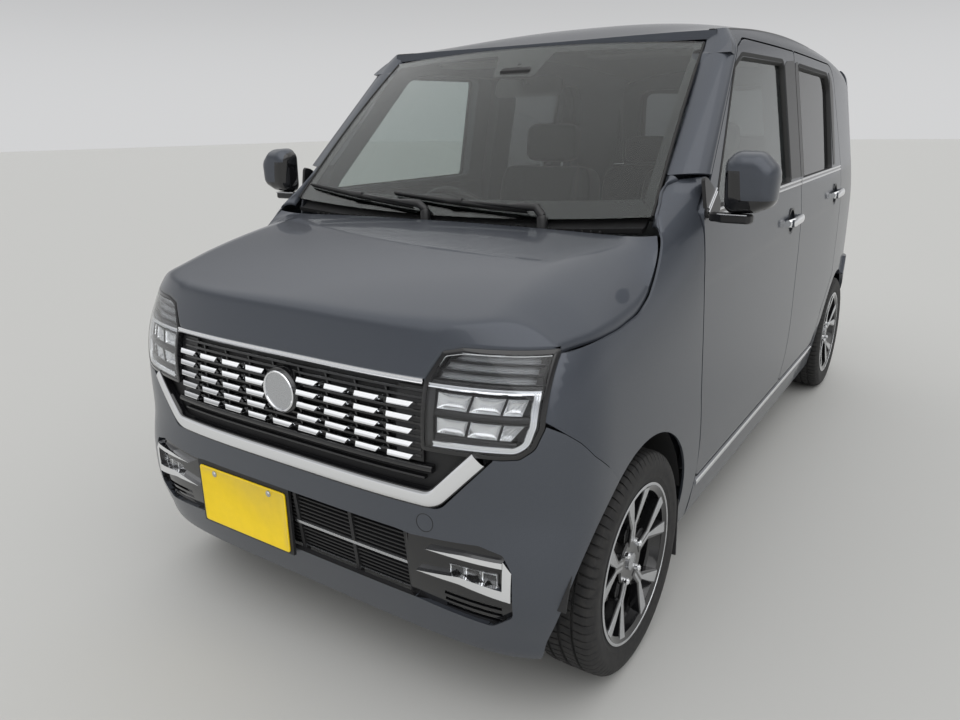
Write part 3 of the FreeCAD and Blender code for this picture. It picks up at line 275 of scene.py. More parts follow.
def rounded(corners, radius=0.0, steps=5):
    """Outline with each corner an arc; a corner's third value is its own radius."""
    out, count = [], len(corners)
    for i, corner in enumerate(corners):
        r = corner[2] if len(corner) > 2 else radius
        here = np.array(corner[:2], float)
        back = np.array(corners[i - 1][:2], float) - here
        on = np.array(corners[(i + 1) % count][:2], float) - here
        lb, lo = np.linalg.norm(back), np.linalg.norm(on)
        half = math.acos(np.clip(back @ on / (lb * lo), -1, 1)) / 2
        if r <= 0 or half > 1.54:
            out.append(here)
            continue
        reach = min(r / math.tan(half), lb * 0.48, lo * 0.48)
        r = reach * math.tan(half)
        middle = back / lb + on / lo
        middle /= np.linalg.norm(middle)
        centre = here + middle * r / math.sin(half)
        a, b = here + back / lb * reach - centre, here + on / lo * reach - centre
        sweep = math.acos(np.clip(a @ b / (r * r), -1, 1))
        for k in range(steps + 1):
            t = k / steps
            out.append(centre + (math.sin((1 - t) * sweep) * a + math.sin(t * sweep) * b) / math.sin(sweep))
    return np.array(out)


def dense(points, step, closed=True):
    """An outline with its long sides split so that no step is longer than given."""
    points = np.asarray(points, float)
    ends = np.roll(points, -1, 0) if closed else points[1:]
    out = []
    for a, b in zip(points, ends):
        n = max(1, int(math.ceil(np.linalg.norm(b - a) / step)))
        out.append(a + (b - a) * np.linspace(0, 1, n, endpoint=False)[:, None])
    if not closed:
        out.append(points[-1:])
    return np.concatenate(out)


def plug(outline, place, depth, bevel=0.0015):
    """A solid whose face is an outline, carried onto a surface by place(a, b, lift) and closed at a depth
    behind it. Rings of the outline stand at -depth, at -bevel, and shrunk by the bevel at 0."""
    inner = shrink(outline, bevel)
    return capped(np.stack([place(*outline.T, -depth), place(*outline.T, -bevel), place(*inner.T, 0.0)]))


def shrink(outline, by):
    """The outline moved inwards by a distance, point by point along its mean edge normals."""
    outline = np.asarray(outline, float)
    before, after = np.roll(outline, 1, 0), np.roll(outline, -1, 0)
    area = np.sum(outline[:, 0] * after[:, 1] - after[:, 0] * outline[:, 1])
    sign = 1.0 if area > 0 else -1.0
    e1, e2 = outline - before, after - outline
    e1 /= np.linalg.norm(e1, axis=1, keepdims=True) + 1e-12
    e2 /= np.linalg.norm(e2, axis=1, keepdims=True) + 1e-12
    n = np.stack([-(e1 + e2)[:, 1], (e1 + e2)[:, 0]], 1) * sign
    size = np.linalg.norm(n, axis=1, keepdims=True)
    return outline + n / np.maximum(size, 1e-9) * by * np.minimum(2.0, 2.0 / np.maximum(size, 1e-9))


def even(half):
    """A profile that is the same on both sides: the half given runs from its middle to its right end."""
    left = [(-a, b) for a, b in half[::-1]]
    return (left[:-1] if half[0][0] == 0 else left) + half


def band(path, profile, place, closed=False):
    """A profile of (across, lift) points carried along a flat path on a surface. Across is square to the
    path and to its left, and place(a, b, lift) gives the points."""
    path, profile = np.asarray(path, float), np.asarray(profile, float)
    tangent = np.roll(path, -1, 0) - np.roll(path, 1, 0) if closed else np.gradient(path, axis=0)
    tangent /= np.linalg.norm(tangent, axis=1, keepdims=True)
    side = np.stack([-tangent[:, 1], tangent[:, 0]], 1)
    flat = path[:, None, :] + profile[None, :, :1] * side[:, None, :]
    points = place(flat[..., 0], flat[..., 1], np.broadcast_to(profile[:, 1], flat.shape[:2]))
    return grid(points) if closed else capped(points)


def level_band(line, z, profile, place):
    """A profile carried along a level line of a surface, at height z."""
    return band(np.column_stack([line, np.full(len(line), z)]), profile, place)


def shell(front, back):
    """The solid between two grids of points, joined round their rims."""
    rows, columns = front.shape[:2]
    size = rows * columns
    rim = list(range(columns)) + [i * columns + columns - 1 for i in range(1, rows)]
    rim += [(rows - 1) * columns + j for j in range(columns - 2, -1, -1)]
    rim += [i * columns for i in range(rows - 2, 0, -1)]
    faces = quads(rows, columns)
    faces = faces + [[i + size for i in f[::-1]] for f in faces]
    faces += [[a, b, b + size, a + size] for a, b in zip(rim, rim[1:] + rim[:1])]
    return np.concatenate([front.reshape(-1, 3), back.reshape(-1, 3)]), faces


def spread(outline, rows, columns):
    """Grid of points over the inside of an outline that each level line crosses once: between its left and
    right crossing at heights spaced by the cosine, closer together near the top and bottom."""
    a, b = np.asarray(outline, float).T
    a2, b2 = np.roll(a, -1), np.roll(b, -1)
    share = 0.5 - 0.5 * np.cos(np.linspace(0, np.pi, rows))
    level = (b.min() + 1e-5 + (b.max() - b.min() - 2e-5) * share)[:, None]
    hit = (b[None] <= level) != (b2[None] <= level)
    at = a[None] + (a2 - a)[None] * (level - b[None]) / np.where(b2 == b, 1.0, b2 - b)[None]
    left, right = np.where(hit, at, np.inf).min(1), np.where(hit, at, -np.inf).max(1)
    across = left[:, None] + (right - left)[:, None] * np.linspace(0, 1, columns)[None]
    return across, np.broadcast_to(level, across.shape)


def cover(outline, place, high, low, rows=22, columns=26):
    """A thin solid over an outline on a surface, between the lifts high and low."""
    a, b = spread(outline, rows, columns)
    return shell(place(a, b, high), place(a, b, low))


def tube(path, radius, sides=12, closed=False):
    """A round tube along a path; radius may vary from point to point. Its frame keeps the first normal as
    level as the path allows."""
    path = np.asarray(path, float)
    r = np.broadcast_to(np.asarray(radius, float), len(path))
    tangent = (np.roll(path, -1, 0) - np.roll(path, 1, 0)) if closed else np.gradient(path, axis=0)
    tangent /= np.linalg.norm(tangent, axis=1, keepdims=True)
    up = np.zeros_like(path)
    first = np.array([0.0, 0.0, 1.0]) if abs(tangent[0, 2]) < 0.9 else np.array([1.0, 0.0, 0.0])
    for i, t in enumerate(tangent):
        first = first - t * (first @ t)
        first = first / np.linalg.norm(first)
        up[i] = first
    side = np.cross(tangent, up)
    a = np.linspace(0, 2 * np.pi, sides, endpoint=False)
    ring = np.cos(a)[None, :, None] * up[:, None, :] + np.sin(a)[None, :, None] * side[:, None, :]
    points = path[:, None, :] + ring * r[:, None, None]
    return grid(points) if closed else capped(points)


def lathe(profile, centre=(0, 0, 0), sides=64):
    """A profile of (radius, x) points turned about an axis along X through a centre."""
    a = np.linspace(0, 2 * np.pi, sides, endpoint=False)[:, None]
    r, x = np.asarray(profile, float).T
    return grid(np.stack([x + 0 * a, r * np.cos(a), r * np.sin(a)], -1) + np.asarray(centre, float))


def knob(profile, at, degrees, sides):
    """A turned profile that faces forwards (-90 degrees) or back (90), with its middle at a place."""
    return moved(turned(lathe(profile, sides=sides), (0, 0, 1), degrees), at)


def slab_box(low, high, bevel=0.002):
    """A box with bevelled edges, as a stack of rounded rectangles."""
    (x0, y0, z0), (x1, y1, z1) = low, high
    b = min(bevel, (x1 - x0) * 0.4, (y1 - y0) * 0.4, (z1 - z0) * 0.4)
    rings = []
    for z, inset in ((z0, b), (z0 + b, 0.0), (z1 - b, 0.0), (z1, b)):
        o = rounded([(x0 + inset, y0 + inset), (x1 - inset, y0 + inset), (x1 - inset, y1 - inset),
                     (x0 + inset, y1 - inset)], max(b, 1e-4), 2)
        rings.append(np.column_stack([o, np.full(len(o), z)]))
    return capped(np.stack(rings))


def piece(name, part, finish, body="body", slot=None, smooth=40.0, instead=()):
    """A mesh object from (points, faces), riding on a body and standing for the nodes in instead. Its
    normals are made to point outwards, and edges sharper than the smooth angle stay sharp."""
    points, faces = part
    mesh = bpy.data.meshes.new(name)
    mesh.from_pydata(np.asarray(points, float).tolist(), [], faces)
    bm = bmesh.new()
    bm.from_mesh(mesh)
    bmesh.ops.remove_doubles(bm, verts=bm.verts, dist=2e-6)
    bmesh.ops.recalc_face_normals(bm, faces=bm.faces)
    bm.to_mesh(mesh)
    bm.free()
    mesh.validate()
    mesh.shade_smooth()
    mesh.set_sharp_from_angle(angle=math.radians(smooth))
    obj = bpy.data.objects.new(name, mesh)
    bpy.context.scene.collection.objects.link(obj)
    obj.data.materials.append(FINISH[finish])
    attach(obj, body)
    if instead:
        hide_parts(*instead)
    slot or FINISHES[finish][0]
    return obj


def per_side(name, part, finish, body="body", slot=None, smooth=40.0, instead=()):
    """A left piece and its mirror image. In body and instead, %s stands for the side."""
    for side, way in SIDES:
        piece(f"{name}_{side}", part if way > 0 else mirrored(part), finish, body.replace("%s", side), slot,
              smooth, [node.replace("%s", side) for node in instead])


def zones(node, names, rule):
    """Gives a CAD node several finishes: rule takes the faces' centres and says which finish each one
    has."""
    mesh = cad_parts[node].data
    mesh.materials.clear()
    for name in names:
        mesh.materials.append(FINISH[name])
    centres = np.empty(len(mesh.polygons) * 3)
    mesh.polygons.foreach_get("center", centres)
    mesh.polygons.foreach_set("material_index", np.asarray(rule(centres.reshape(-1, 3)), np.int32))


def inside(outline, a, b):
    """Which points (a, b) lie inside an outline, by counting the edges to their right."""
    p = np.asarray([corner[:2] for corner in outline], float)
    q = np.roll(p, -1, 0)
    a, b = a[:, None], b[:, None]
    rise = np.where(q[:, 1] == p[:, 1], 1.0, q[:, 1] - p[:, 1])
    hit = ((p[:, 1] > b) != (q[:, 1] > b)) & (a < p[:, 0] + (q[:, 0] - p[:, 0]) * (b - p[:, 1]) / rise)
    return hit.sum(1) % 2 == 1


def skin(outline, place, high, low, step):
    """A thin solid over any flat region: its outline and an inner lattice are triangulated together, and
    both sides are carried onto a surface by place(a, b, lift) at the lifts high and low."""
    edge = dense(outline, step)
    low_corner, high_corner = edge.min(0), edge.max(0)
    a, b = np.meshgrid(*[np.arange(low_corner[k] + step / 2, high_corner[k], step) for k in (0, 1)])
    a, b = a.ravel(), b.ravel()
    near = np.hypot(a[:, None] - edge[None, :, 0], b[:, None] - edge[None, :, 1]).min(1)
    keep = inside(edge, a, b) & (near > step * 0.45)
    points = np.concatenate([edge, np.column_stack([a, b])[keep]])
    n = len(edge)
    rim = [(i, (i + 1) % n) for i in range(n)]
    out = delaunay_2d_cdt([Vector(p) for p in points.tolist()], rim, [], 1, 1e-7)
    flat = np.array([tuple(v) for v in out[0]])
    faces = [list(f) for f in out[2]]
    size = len(flat)
    used = {(i, j) for f in faces for i, j in zip(f, f[1:] + f[:1])}
    sides = [[j, i, i + size, j + size] for i, j in sorted(used) if (j, i) not in used]
    faces += [[i + size for i in f[::-1]] for f in faces] + sides
    return np.concatenate([place(*flat.T, high), place(*flat.T, low)]), faces


def dress(nodes, finish):
    """Gives CAD nodes a finish."""
    for node in nodes:
        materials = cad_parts[node].data.materials
        materials.clear()
        materials.append(FINISH[finish])


# Materials
def shader(name, colour, rough=0.5, metal=0.0, **sockets):
    """A Principled material with plain values on its sockets."""
    m = bpy.data.materials.new(name)
    m.use_nodes = True
    m.diffuse_color = (*colour[:3], 1.0)
    bsdf = m.node_tree.nodes["Principled BSDF"]
    bsdf.inputs["Base Color"].default_value = (*colour[:3], 1.0)
    bsdf.inputs["Roughness"].default_value = rough
    bsdf.inputs["Metallic"].default_value = metal
    for key, value in sockets.items():
        bsdf.inputs[key.replace("_", " ")].default_value = value
    return m


def add(m, kind, **values):
    """A new node, with its sockets or settings given by name."""
    node = m.node_tree.nodes.new(kind)
    for key, value in values.items():
        if key in node.inputs:
            node.inputs[key].default_value = value
        else:
            setattr(node, key, value)
    return node


def link(m, a, out, b, into):
    """Joins an output of node a to an input of node b."""
    m.node_tree.links.new(a.outputs[out], b.inputs[into])


def speckle(m, scale, colours, detail=2.0, into="Base Color"):
    """Noise on Object coordinates through a colour ramp into a socket."""
    bsdf = m.node_tree.nodes["Principled BSDF"]
    place = add(m, "ShaderNodeTexCoord")
    noise = add(m, "ShaderNodeTexNoise", Scale=scale, Detail=detail)
    mix = add(m, "ShaderNodeValToRGB")
    mix.color_ramp.elements[0].position, mix.color_ramp.elements[1].position = 0.32, 0.68
    for element, colour in zip(mix.color_ramp.elements, colours):
        element.color = (*colour, 1.0) if hasattr(colour, "__len__") else (colour, colour, colour, 1.0)
    link(m, place, "Object", noise, "Vector")
    link(m, noise, "Fac", mix, "Fac")
    link(m, mix, "Color", bsdf, into)


def bump(m, scale, strength, distance, detail=2.0, kind="ShaderNodeTexNoise", output="Fac", squeeze=None):
    """Relief from a texture on Object coordinates."""
    bsdf = m.node_tree.nodes["Principled BSDF"]
    place = add(m, "ShaderNodeTexCoord")
    texture = add(m, kind, Scale=scale)
    if kind == "ShaderNodeTexNoise":
        texture.inputs["Detail"].default_value = detail
    relief = add(m, "ShaderNodeBump", Strength=strength, Distance=distance)
    if squeeze:
        mapping = add(m, "ShaderNodeMapping", Scale=squeeze)
        link(m, place, "Object", mapping, "Vector")
        link(m, mapping, "Vector", texture, "Vector")
    else:
        link(m, place, "Object", texture, "Vector")
    link(m, texture, output, relief, "Height")
    link(m, relief, "Normal", bsdf, "Normal")


def crease(m):
    """The soft fold along the doors: a smooth step of 3.5 mm over a band that climbs to the rear, from
    Object height less a small share of Object length."""
    bsdf = m.node_tree.nodes["Principled BSDF"]
    place = add(m, "ShaderNodeTexCoord")
    split = add(m, "ShaderNodeSeparateXYZ")
    climb = add(m, "ShaderNodeMath", operation="MULTIPLY_ADD")
    climb.inputs[1].default_value = -0.022
    fold = add(m, "ShaderNodeMapRange", interpolation_type="SMOOTHERSTEP")
    fold.inputs["From Min"].default_value, fold.inputs["From Max"].default_value = 0.912, 0.958
    relief = add(m, "ShaderNodeBump", Strength=1.0, Distance=0.0035)
    link(m, place, "Object", split, "Vector")
    link(m, split, "Y", climb, 0)
    link(m, split, "Z", climb, 2)
    link(m, climb, "Value", fold, "Value")
    link(m, fold, "Result", relief, "Height")
    link(m, relief, "Normal", bsdf, "Normal")


def tint(scale, dark, light, detail):
    """A texture that varies the colour between two others."""
    return lambda m: speckle(m, scale, (dark, light), detail)


def gloss(scale, low, high, detail=2.0):
    """A texture that varies the roughness between two values."""
    return lambda m: speckle(m, scale, (low, high), detail, "Roughness")


def grain(scale, strength, distance, **more):
    """A texture that gives relief."""
    return lambda m: bump(m, scale, strength, distance, **more)


CELLS = {"kind": "ShaderNodeTexVoronoi", "output": "Distance"}
CLEAR = {"Transmission_Weight": 1.0, "IOR": 1.45}
# Each finish: its material slot, colour, roughness, metal, other sockets and textures
FINISHES = {
    "paint": ("paint", None, 0.38, 0.45, dict(Coat_Weight=0.6, Coat_Roughness=0.03, Coat_IOR=1.45,
                                              Specular_IOR_Level=0.2)),
    "door paint": ("paint", None, 0.38, 0.45, dict(Coat_Weight=0.6, Coat_Roughness=0.03, Coat_IOR=1.45,
                                                   Specular_IOR_Level=0.2), crease),
    "bumper": ("bumper_paint", None, 0.40, 0.42, dict(Coat_Weight=0.55, Coat_Roughness=0.04, Coat_IOR=1.45)),
    "plate": ("bumper_paint", None, 0.35, 0.0, dict(Coat_Weight=0.3, Coat_Roughness=0.2)),
    "chrome": ("grille_chrome", (0.92, 0.93, 0.95), 0.06, 1.0, {}, gloss(9.0, 0.05, 0.10)),
    "satin": ("grille_chrome", (0.55, 0.56, 0.58), 0.28, 1.0, {}, gloss(300.0, 0.24, 0.34)),
    "gloss black": ("black_plastic", (0.008, 0.008, 0.009), 0.08, 0.0,
                    dict(Coat_Weight=0.5, Coat_Roughness=0.03), gloss(14.0, 0.05, 0.11)),
    "satin black": ("black_plastic", (0.012, 0.012, 0.013), 0.32, 0.0, {}, grain(800.0, 0.15, 0.0003)),
    "black": ("black_plastic", (0.018, 0.018, 0.019), 0.55, 0.0, {}, grain(900.0, 0.35, 0.0004)),
    "rubber": ("black_plastic", (0.012, 0.012, 0.012), 0.62, 0.0, {}, grain(500.0, 0.2, 0.0003)),
    "frit": ("black_plastic", (0.006, 0.006, 0.006), 0.10, 0.0, {}, gloss(800.0, 0.08, 0.14, 1.0)),
    "reflector": ("lamp_lens", (0.86, 0.87, 0.88), 0.16, 0.85, {}, gloss(90.0, 0.12, 0.26)),
    "marker": ("lamp_lens", (0.42, 0.43, 0.44), 0.22, 0.55, {}, grain(380.0, 0.5, 0.0008, **CELLS)),
    "lens": ("lamp_lens", (0.96, 0.97, 0.98), 0.01, 0.0, dict(Transmission_Weight=1.0, IOR=1.35)),
    "red glow": ("tail_lens", (0.75, 0.02, 0.02), 0.12, 0.0, dict(Coat_Weight=1.0),
                 tint(120.0, (0.60, 0.01, 0.01), (0.85, 0.03, 0.03), 1.0)),
    "red lens": ("tail_lens", (0.42, 0.006, 0.008), 0.05, 0.0,
                 dict(Transmission_Weight=0.35, Coat_Weight=1.0)),
    "clear plastic": ("tail_lens", (0.75, 0.75, 0.76), 0.06, 0.0, dict(Transmission_Weight=0.6)),
    "mirror glass": ("glass", (0.85, 0.87, 0.88), 0.02, 1.0, {}, gloss(6.0, 0.015, 0.03, 1.0)),
    "glass": ("glass", (0.66, 0.70, 0.69), 0.0, 0.0, CLEAR),
    "side glass": ("glass", (0.50, 0.56, 0.54), 0.0, 0.0, CLEAR),
    "privacy glass": ("glass", (0.09, 0.095, 0.10), 0.0, 0.0, CLEAR),
    "tyre": ("tyre", (0.016, 0.016, 0.017), 0.72, 0.0, {},
             tint(60.0, (0.011, 0.011, 0.012), (0.024, 0.023, 0.022), 5.0),
             grain(700.0, 0.25, 0.0004, detail=4.0)),
    "alloy cut": ("wheel_alloy", (0.66, 0.67, 0.69), 0.20, 1.0, {},
                  grain(260.0, 0.10, 0.0002, detail=1.0, squeeze=(0.2, 1.0, 1.0))),
    "alloy black": ("wheel_alloy", (0.010, 0.010, 0.011), 0.14, 0.15,
                    dict(Coat_Weight=0.8, Coat_Roughness=0.05), gloss(30.0, 0.10, 0.20)),
    "iron": ("knuckle_iron", (0.16, 0.155, 0.15), 0.42, 0.9, {}, grain(420.0, 0.3, 0.0003)),
    "cast": ("cast_metal", (0.22, 0.22, 0.23), 0.55, 0.6, {}, grain(300.0, 0.5, 0.0008, detail=3.0)),
    "underside": ("underbody_coat", (0.022, 0.022, 0.024), 0.6, 0.0, {},
                  grain(180.0, 0.5, 0.0008, detail=3.0)),
    "steel": ("exhaust_steel", (0.34, 0.32, 0.30), 0.38, 0.95, {},
              tint(25.0, (0.26, 0.24, 0.22), (0.42, 0.40, 0.38), 4.0)),
    "seat": ("seat_fabric", (0.028, 0.028, 0.030), 0.85, 0.0, dict(Sheen_Weight=0.4, Sheen_Roughness=0.5),
             grain(420.0, 0.8, 0.0006, **CELLS)),
    "seat side": ("seat_fabric", (0.020, 0.020, 0.021), 0.7, 0.0, dict(Sheen_Weight=0.2),
                  grain(900.0, 0.5, 0.0004)),
    "trim": ("trim_plastic", (0.022, 0.022, 0.024), 0.62, 0.0, {}, grain(1100.0, 0.4, 0.0003)),
    "leather": ("wheel_leather", (0.018, 0.017, 0.017), 0.45, 0.0, {}, grain(620.0, 0.5, 0.0004, **CELLS)),
    "headliner": ("trim_plastic", (0.36, 0.35, 0.33), 0.95, 0.0, {}, grain(900.0, 0.4, 0.0004)),
    "carpet": ("trim_plastic", (0.018, 0.018, 0.018), 0.98, 0.0, dict(Sheen_Weight=0.3),
               grain(1500.0, 1.0, 0.0012)),
}
FINISH = {}


def finishes(look):
    """Makes every finish once. Those without a colour of their own take the panel's and vary round it."""
    paint, plate = tuple(look.paint), tuple(look.plate)
    own = {"paint": (paint, 2600.0, 0.78, 1.30, 1.0), "door paint": (paint, 2600.0, 0.78, 1.30, 1.0),
           "bumper": (paint, 2400.0, 0.78, 1.28, 1.0), "plate": (plate, 40.0, 0.95, 1.0, 3.0)}
    for name, (_, colour, rough, metal, sockets, *textures) in FINISHES.items():
        if name in own:
            colour, scale, dark, light, detail = own[name]
            shades = [[c * share for c in colour] for share in (dark, light)]
            textures = [tint(scale, *shades, detail)] + textures
        FINISH[name] = shader(name, colour, rough, metal, **sockets)
        for texture in textures:
            texture(FINISH[name])


# Sizes and colours that a user may change
class KeiLook(bpy.types.PropertyGroup):
    paint: bpy.props.FloatVectorProperty(name="Paint", description="Body colour, linear", subtype="COLOR",
                                         size=3, default=(0.068, 0.076, 0.092), min=0.0, max=1.0)
    plate: bpy.props.FloatVectorProperty(name="Plate", description="Blank number plate colour, linear",
                                         subtype="COLOR", size=3, default=(1.0, 0.70, 0.0), min=0.0, max=1.0)
    floor: bpy.props.FloatVectorProperty(name="Floor", description="Studio floor colour, linear",
                                         subtype="COLOR", size=3, default=(0.52, 0.52, 0.505), min=0.0,
                                         max=1.0)


class KeiCamera(bpy.types.PropertyGroup):
    place: bpy.props.FloatVectorProperty(name="Place", description="Where the camera stands",
                                         subtype="TRANSLATION", unit="LENGTH", size=3,
                                         default=(1.3075, -2.7955, 1.3134))
    turn: bpy.props.FloatVectorProperty(name="Turn", description="Yaw, pitch and roll of the view",
                                        subtype="EULER", unit="ROTATION", size=3,
                                        default=(-0.59285, -0.30271, -0.01519))
    lens: bpy.props.FloatProperty(name="Lens", description="Focal length on a 36 mm sensor, in millimetres",
                                  default=28.06, min=10.0, max=200.0)


# Body skin
class KEI_OT_paintwork(bpy.types.Operator):
    """Paints the body panels"""
    bl_idname = "kei.paintwork"
    bl_label = "Paintwork"

    def execute(self, context):
        finishes(context.scene.kei_look)
        dress(["roof_panel", "bonnet", "tailgate"], "paint")
        for side, _ in SIDES:
            dress(["side_frame_" + side, "fender_" + side], "paint")
            dress(["door_front_" + side, "door_rear_" + side], "door paint")
        dress(["rear_bumper"], "bumper")
        return {"FINISHED"}


# Bonnet and wings
LAMP_TOP = [(0.0, 0.827), (0.401, 0.827), (0.4355, 0.885), (0.480, 0.895), (0.760, 0.8955)]
GAP_LINE = np.array([(0.649, -1.660, 0.886), (0.649, -1.527, 0.886), (0.683, -1.424, 0.892),
                     (0.693, -1.340, 0.897), (0.697, -1.247, 0.912), (0.694, -1.184, 0.939),
                     (0.688, -1.135, 0.976), (0.681, -1.097, 1.010), (0.671, -1.064, 1.043),
                     (0.652, -1.046, 1.072), (0.633, -1.028, 1.101), (0.600, -0.990, 1.160)])
BUMPER_GAP = [(-1.405, 0.588), (-1.461, 0.629), (-1.508, 0.668), (-1.541, 0.705), (-1.569, 0.730),
              (-1.600, 0.752)]


def gap_line(y):
    """Bonnet's side edge at y: x and z of the corners joined by straight lines, then averaged over 50 mm."""
    fine = np.arange(-1.80, -0.90, 0.001)
    window = np.hanning(51)
    window /= window.sum()
    lines = [np.interp(fine, GAP_LINE[:, 1], GAP_LINE[:, k]) for k in (0, 2)]
    return [np.interp(y, fine, np.convolve(line, window, "same")) for line in lines]


def bonnet_z(x, y):
    """Bonnet height: a parabola rising to the rear, less a light crown, falling to the side edge with the
    2.3th power of the way beyond x 0.5 m."""
    u = np.clip((y + 1.652) / 0.592, 0.0, 1.0)
    edge_x, edge_z = gap_line(y)
    crown = 0.930 + 0.128 * (1.62 * u - 0.62 * u * u) - 0.012 * (x / 0.640) ** 2
    return crown - (crown - edge_z) * (over(np.abs(x) - 0.500) / (edge_x - 0.500)) ** 2.3


class KEI_OT_panels(bpy.types.Operator):
    """Builds the bonnet and both wings as fine sheets on the car's own surface formulas"""
    bl_idname = "kei.panels"
    bl_label = "Bonnet and wings"

    def execute(self, context):
        front = np.concatenate([np.linspace(0, 0.400, 15), np.linspace(0.4055, 0.4355, 6),
                                np.linspace(0.447, 0.480, 4), np.linspace(0.492, 0.647, 16)]) / 0.652
        shares = np.concatenate([-front[:0:-1], front])
        top = np.stack([self.strip(s) for s in shares], 1)
        piece("bonnet_sheet", shell(top, top + np.array([0, 0.003, -0.014])), "paint", "bonnet", smooth=50,
              instead=["bonnet"])
        wing = skin(self.wing_outline(), self.wing_point, 0.0, -0.006, 0.0125)
        sheets = (("wing_", wing, 50), ("pillar_foot_", self.pillar_foot(), 60),
                  ("pillar_sheet_", self.pillar(), 50))
        for side, way in SIDES:
            for name, part, smooth in sheets:
                piece(name + side, part if way > 0 else mirrored(part), "paint", smooth=smooth,
                      instead=["fender_" + side] if part is wing else ())
        return {"FINISHED"}

    @staticmethod
    def pillar():
        """Windscreen pillar: ruled from the screen's edge to the door frame's line at each height, with a
        bulge of a parabola across, ending on the wing."""
        z = np.linspace(1.1865, 1.566, 40)[:, None]
        share = np.linspace(0.0, 1.0, 13)[None]
        edge = screen_edge(z)
        y = DOOR_FRONT_Y - 0.0105 + (z - 1.098) * 1.0024
        rear = np.stack([side_x(y, z), y, z], -1)
        bulge = np.array([0.75, -0.66, 0.2]) * (0.022 * 4 * share * (1 - share))[..., None]
        front = edge + (rear - edge) * share[..., None] + bulge + np.array([0.0018, -0.0012, 0.0012])
        return shell(front, front + np.array([-0.004, 0.006, -0.004]))

    @staticmethod
    def pillar_foot():
        """Ruled sheet that carries the wing's top edge over to the foot of the windscreen's edge."""
        edge = np.array([(-1.052, 1.064), (-1.020, 1.0965), (-0.985, 1.1205), (-0.950, 1.1485),
                         (-0.925, 1.1645), (-0.897, 1.1745)])
        share = np.linspace(0, 1, 31)
        y, z = (np.interp(share * 5, np.arange(6), edge[:, k]) for k in (0, 1))
        outer = np.stack([side_x(y, z, True) + 0.0004, y, z], -1)[:, None]
        inner = screen_edge(1.074 + 0.110 * share)[:, None]
        across = np.linspace(0, 1, 11)[None, :, None]
        bulge = np.array([0.2, -0.5, 0.8]) * 0.010 * 4 * across * (1 - across)
        front = outer + (inner - outer) * across + bulge
        return shell(front, front + np.array([-0.001, 0.004, -0.006]))

    @staticmethod
    def strip(share):
        """One strip of the bonnet from its rear edge forward over the nose and down to the grille or lamp,
        its bend softened by repeated averaging, as evenly spaced points."""
        y = np.linspace(-1.064 + 0.008 * abs(share), NOSE_Y - 0.0025, 170)
        x = share * (gap_line(y)[0] - 0.00175)
        z = bonnet_z(x, y)
        past = np.argmax(y <= face_y(x, z) + 0.0005)
        x, y, z = x[:past], y[:past], z[:past]
        low = np.linspace(z[-1] - 0.002, np.interp(abs(share) * 0.652, *np.transpose(LAMP_TOP)), 40)
        x = np.concatenate([x, np.full(40, share * 0.652)])
        y, z = np.concatenate([y, face_y(share * 0.652, low)]), np.concatenate([z, low])
        points = np.stack([x, y, z], 1)
        for _ in range(30):
            points[1:-1] = (points[:-2] + 2 * points[1:-1] + points[2:]) / 4
        way = np.concatenate([[0], np.cumsum(np.linalg.norm(np.diff(points, axis=0), axis=1))])
        spots = np.linspace(0, way[-1], 100)
        return np.stack([np.interp(spots, way, points[:, k]) for k in range(3)], 1)

    @staticmethod
    def wing_outline():
        """The wing from the lamp along the bonnet gap, the pillar foot and the door's front edge, round the
        arch and back along the bumper's gap."""
        z = np.linspace(0.757, 0.880, 12)
        lamp = np.column_stack([face_y(0.6535, z), z])
        y = np.linspace(lamp[-1, 0] + 0.002, -1.046, 60)
        line = np.column_stack([y, gap_line(y)[1] - 0.004])
        rear = [(-1.020, 1.098), (-0.985, 1.122), (-0.950, 1.150), (-0.925, 1.166), (-0.896, 1.176),
                (-0.842, 1.183), (-0.838, 1.178), (-0.9105, 1.106), (-0.9105, 0.930), (-0.8685, 0.600),
                (-0.800, 0.342), (-0.792, 0.194)]
        turn = np.radians(np.linspace(-14.0, 117.0, 70))
        arch = np.column_stack([AXLE_Y[0] + ARCH_R * np.cos(turn), ARCH_Z + ARCH_R * np.sin(turn)])
        seam = [(y, z + 0.001) for y, z in BUMPER_GAP if lamp[0, 0] + 0.004 < y < arch[-1, 0] - 0.004]
        return np.concatenate([lamp, line, rear, arch, seam])

    @staticmethod
    def wing_point(y, z, lift):
        """The flank with its shoulder taper, moved straight out by lift."""
        return np.stack([side_x(y, z, True) + lift, y, z], -1)


# Side part of the lower front opening with its blades, as (x, z) of the left side
OPENING = [(0, 0.284), (0.364, 0.300), (0.557, 0.284), (0.607, 0.321), (0.607, 0.430), (0.587, 0.469),
           (0.536, 0.482), (0, 0.474)]
BLADES = ([(0.378, 0.382), (0.489, 0.380), (0.604, 0.360), (0.607, 0.431), (0.588, 0.456), (0.586, 0.385),
           (0.490, 0.398)], [(0.408, 0.445), (0.588, 0.437), (0.588, 0.452), (0.500, 0.453)])
FOG_GLASS = [(0.461, 0.380, 0.004), (0.576, 0.373, 0.004), (0.576, 0.422, 0.004), (0.461, 0.421, 0.004)]


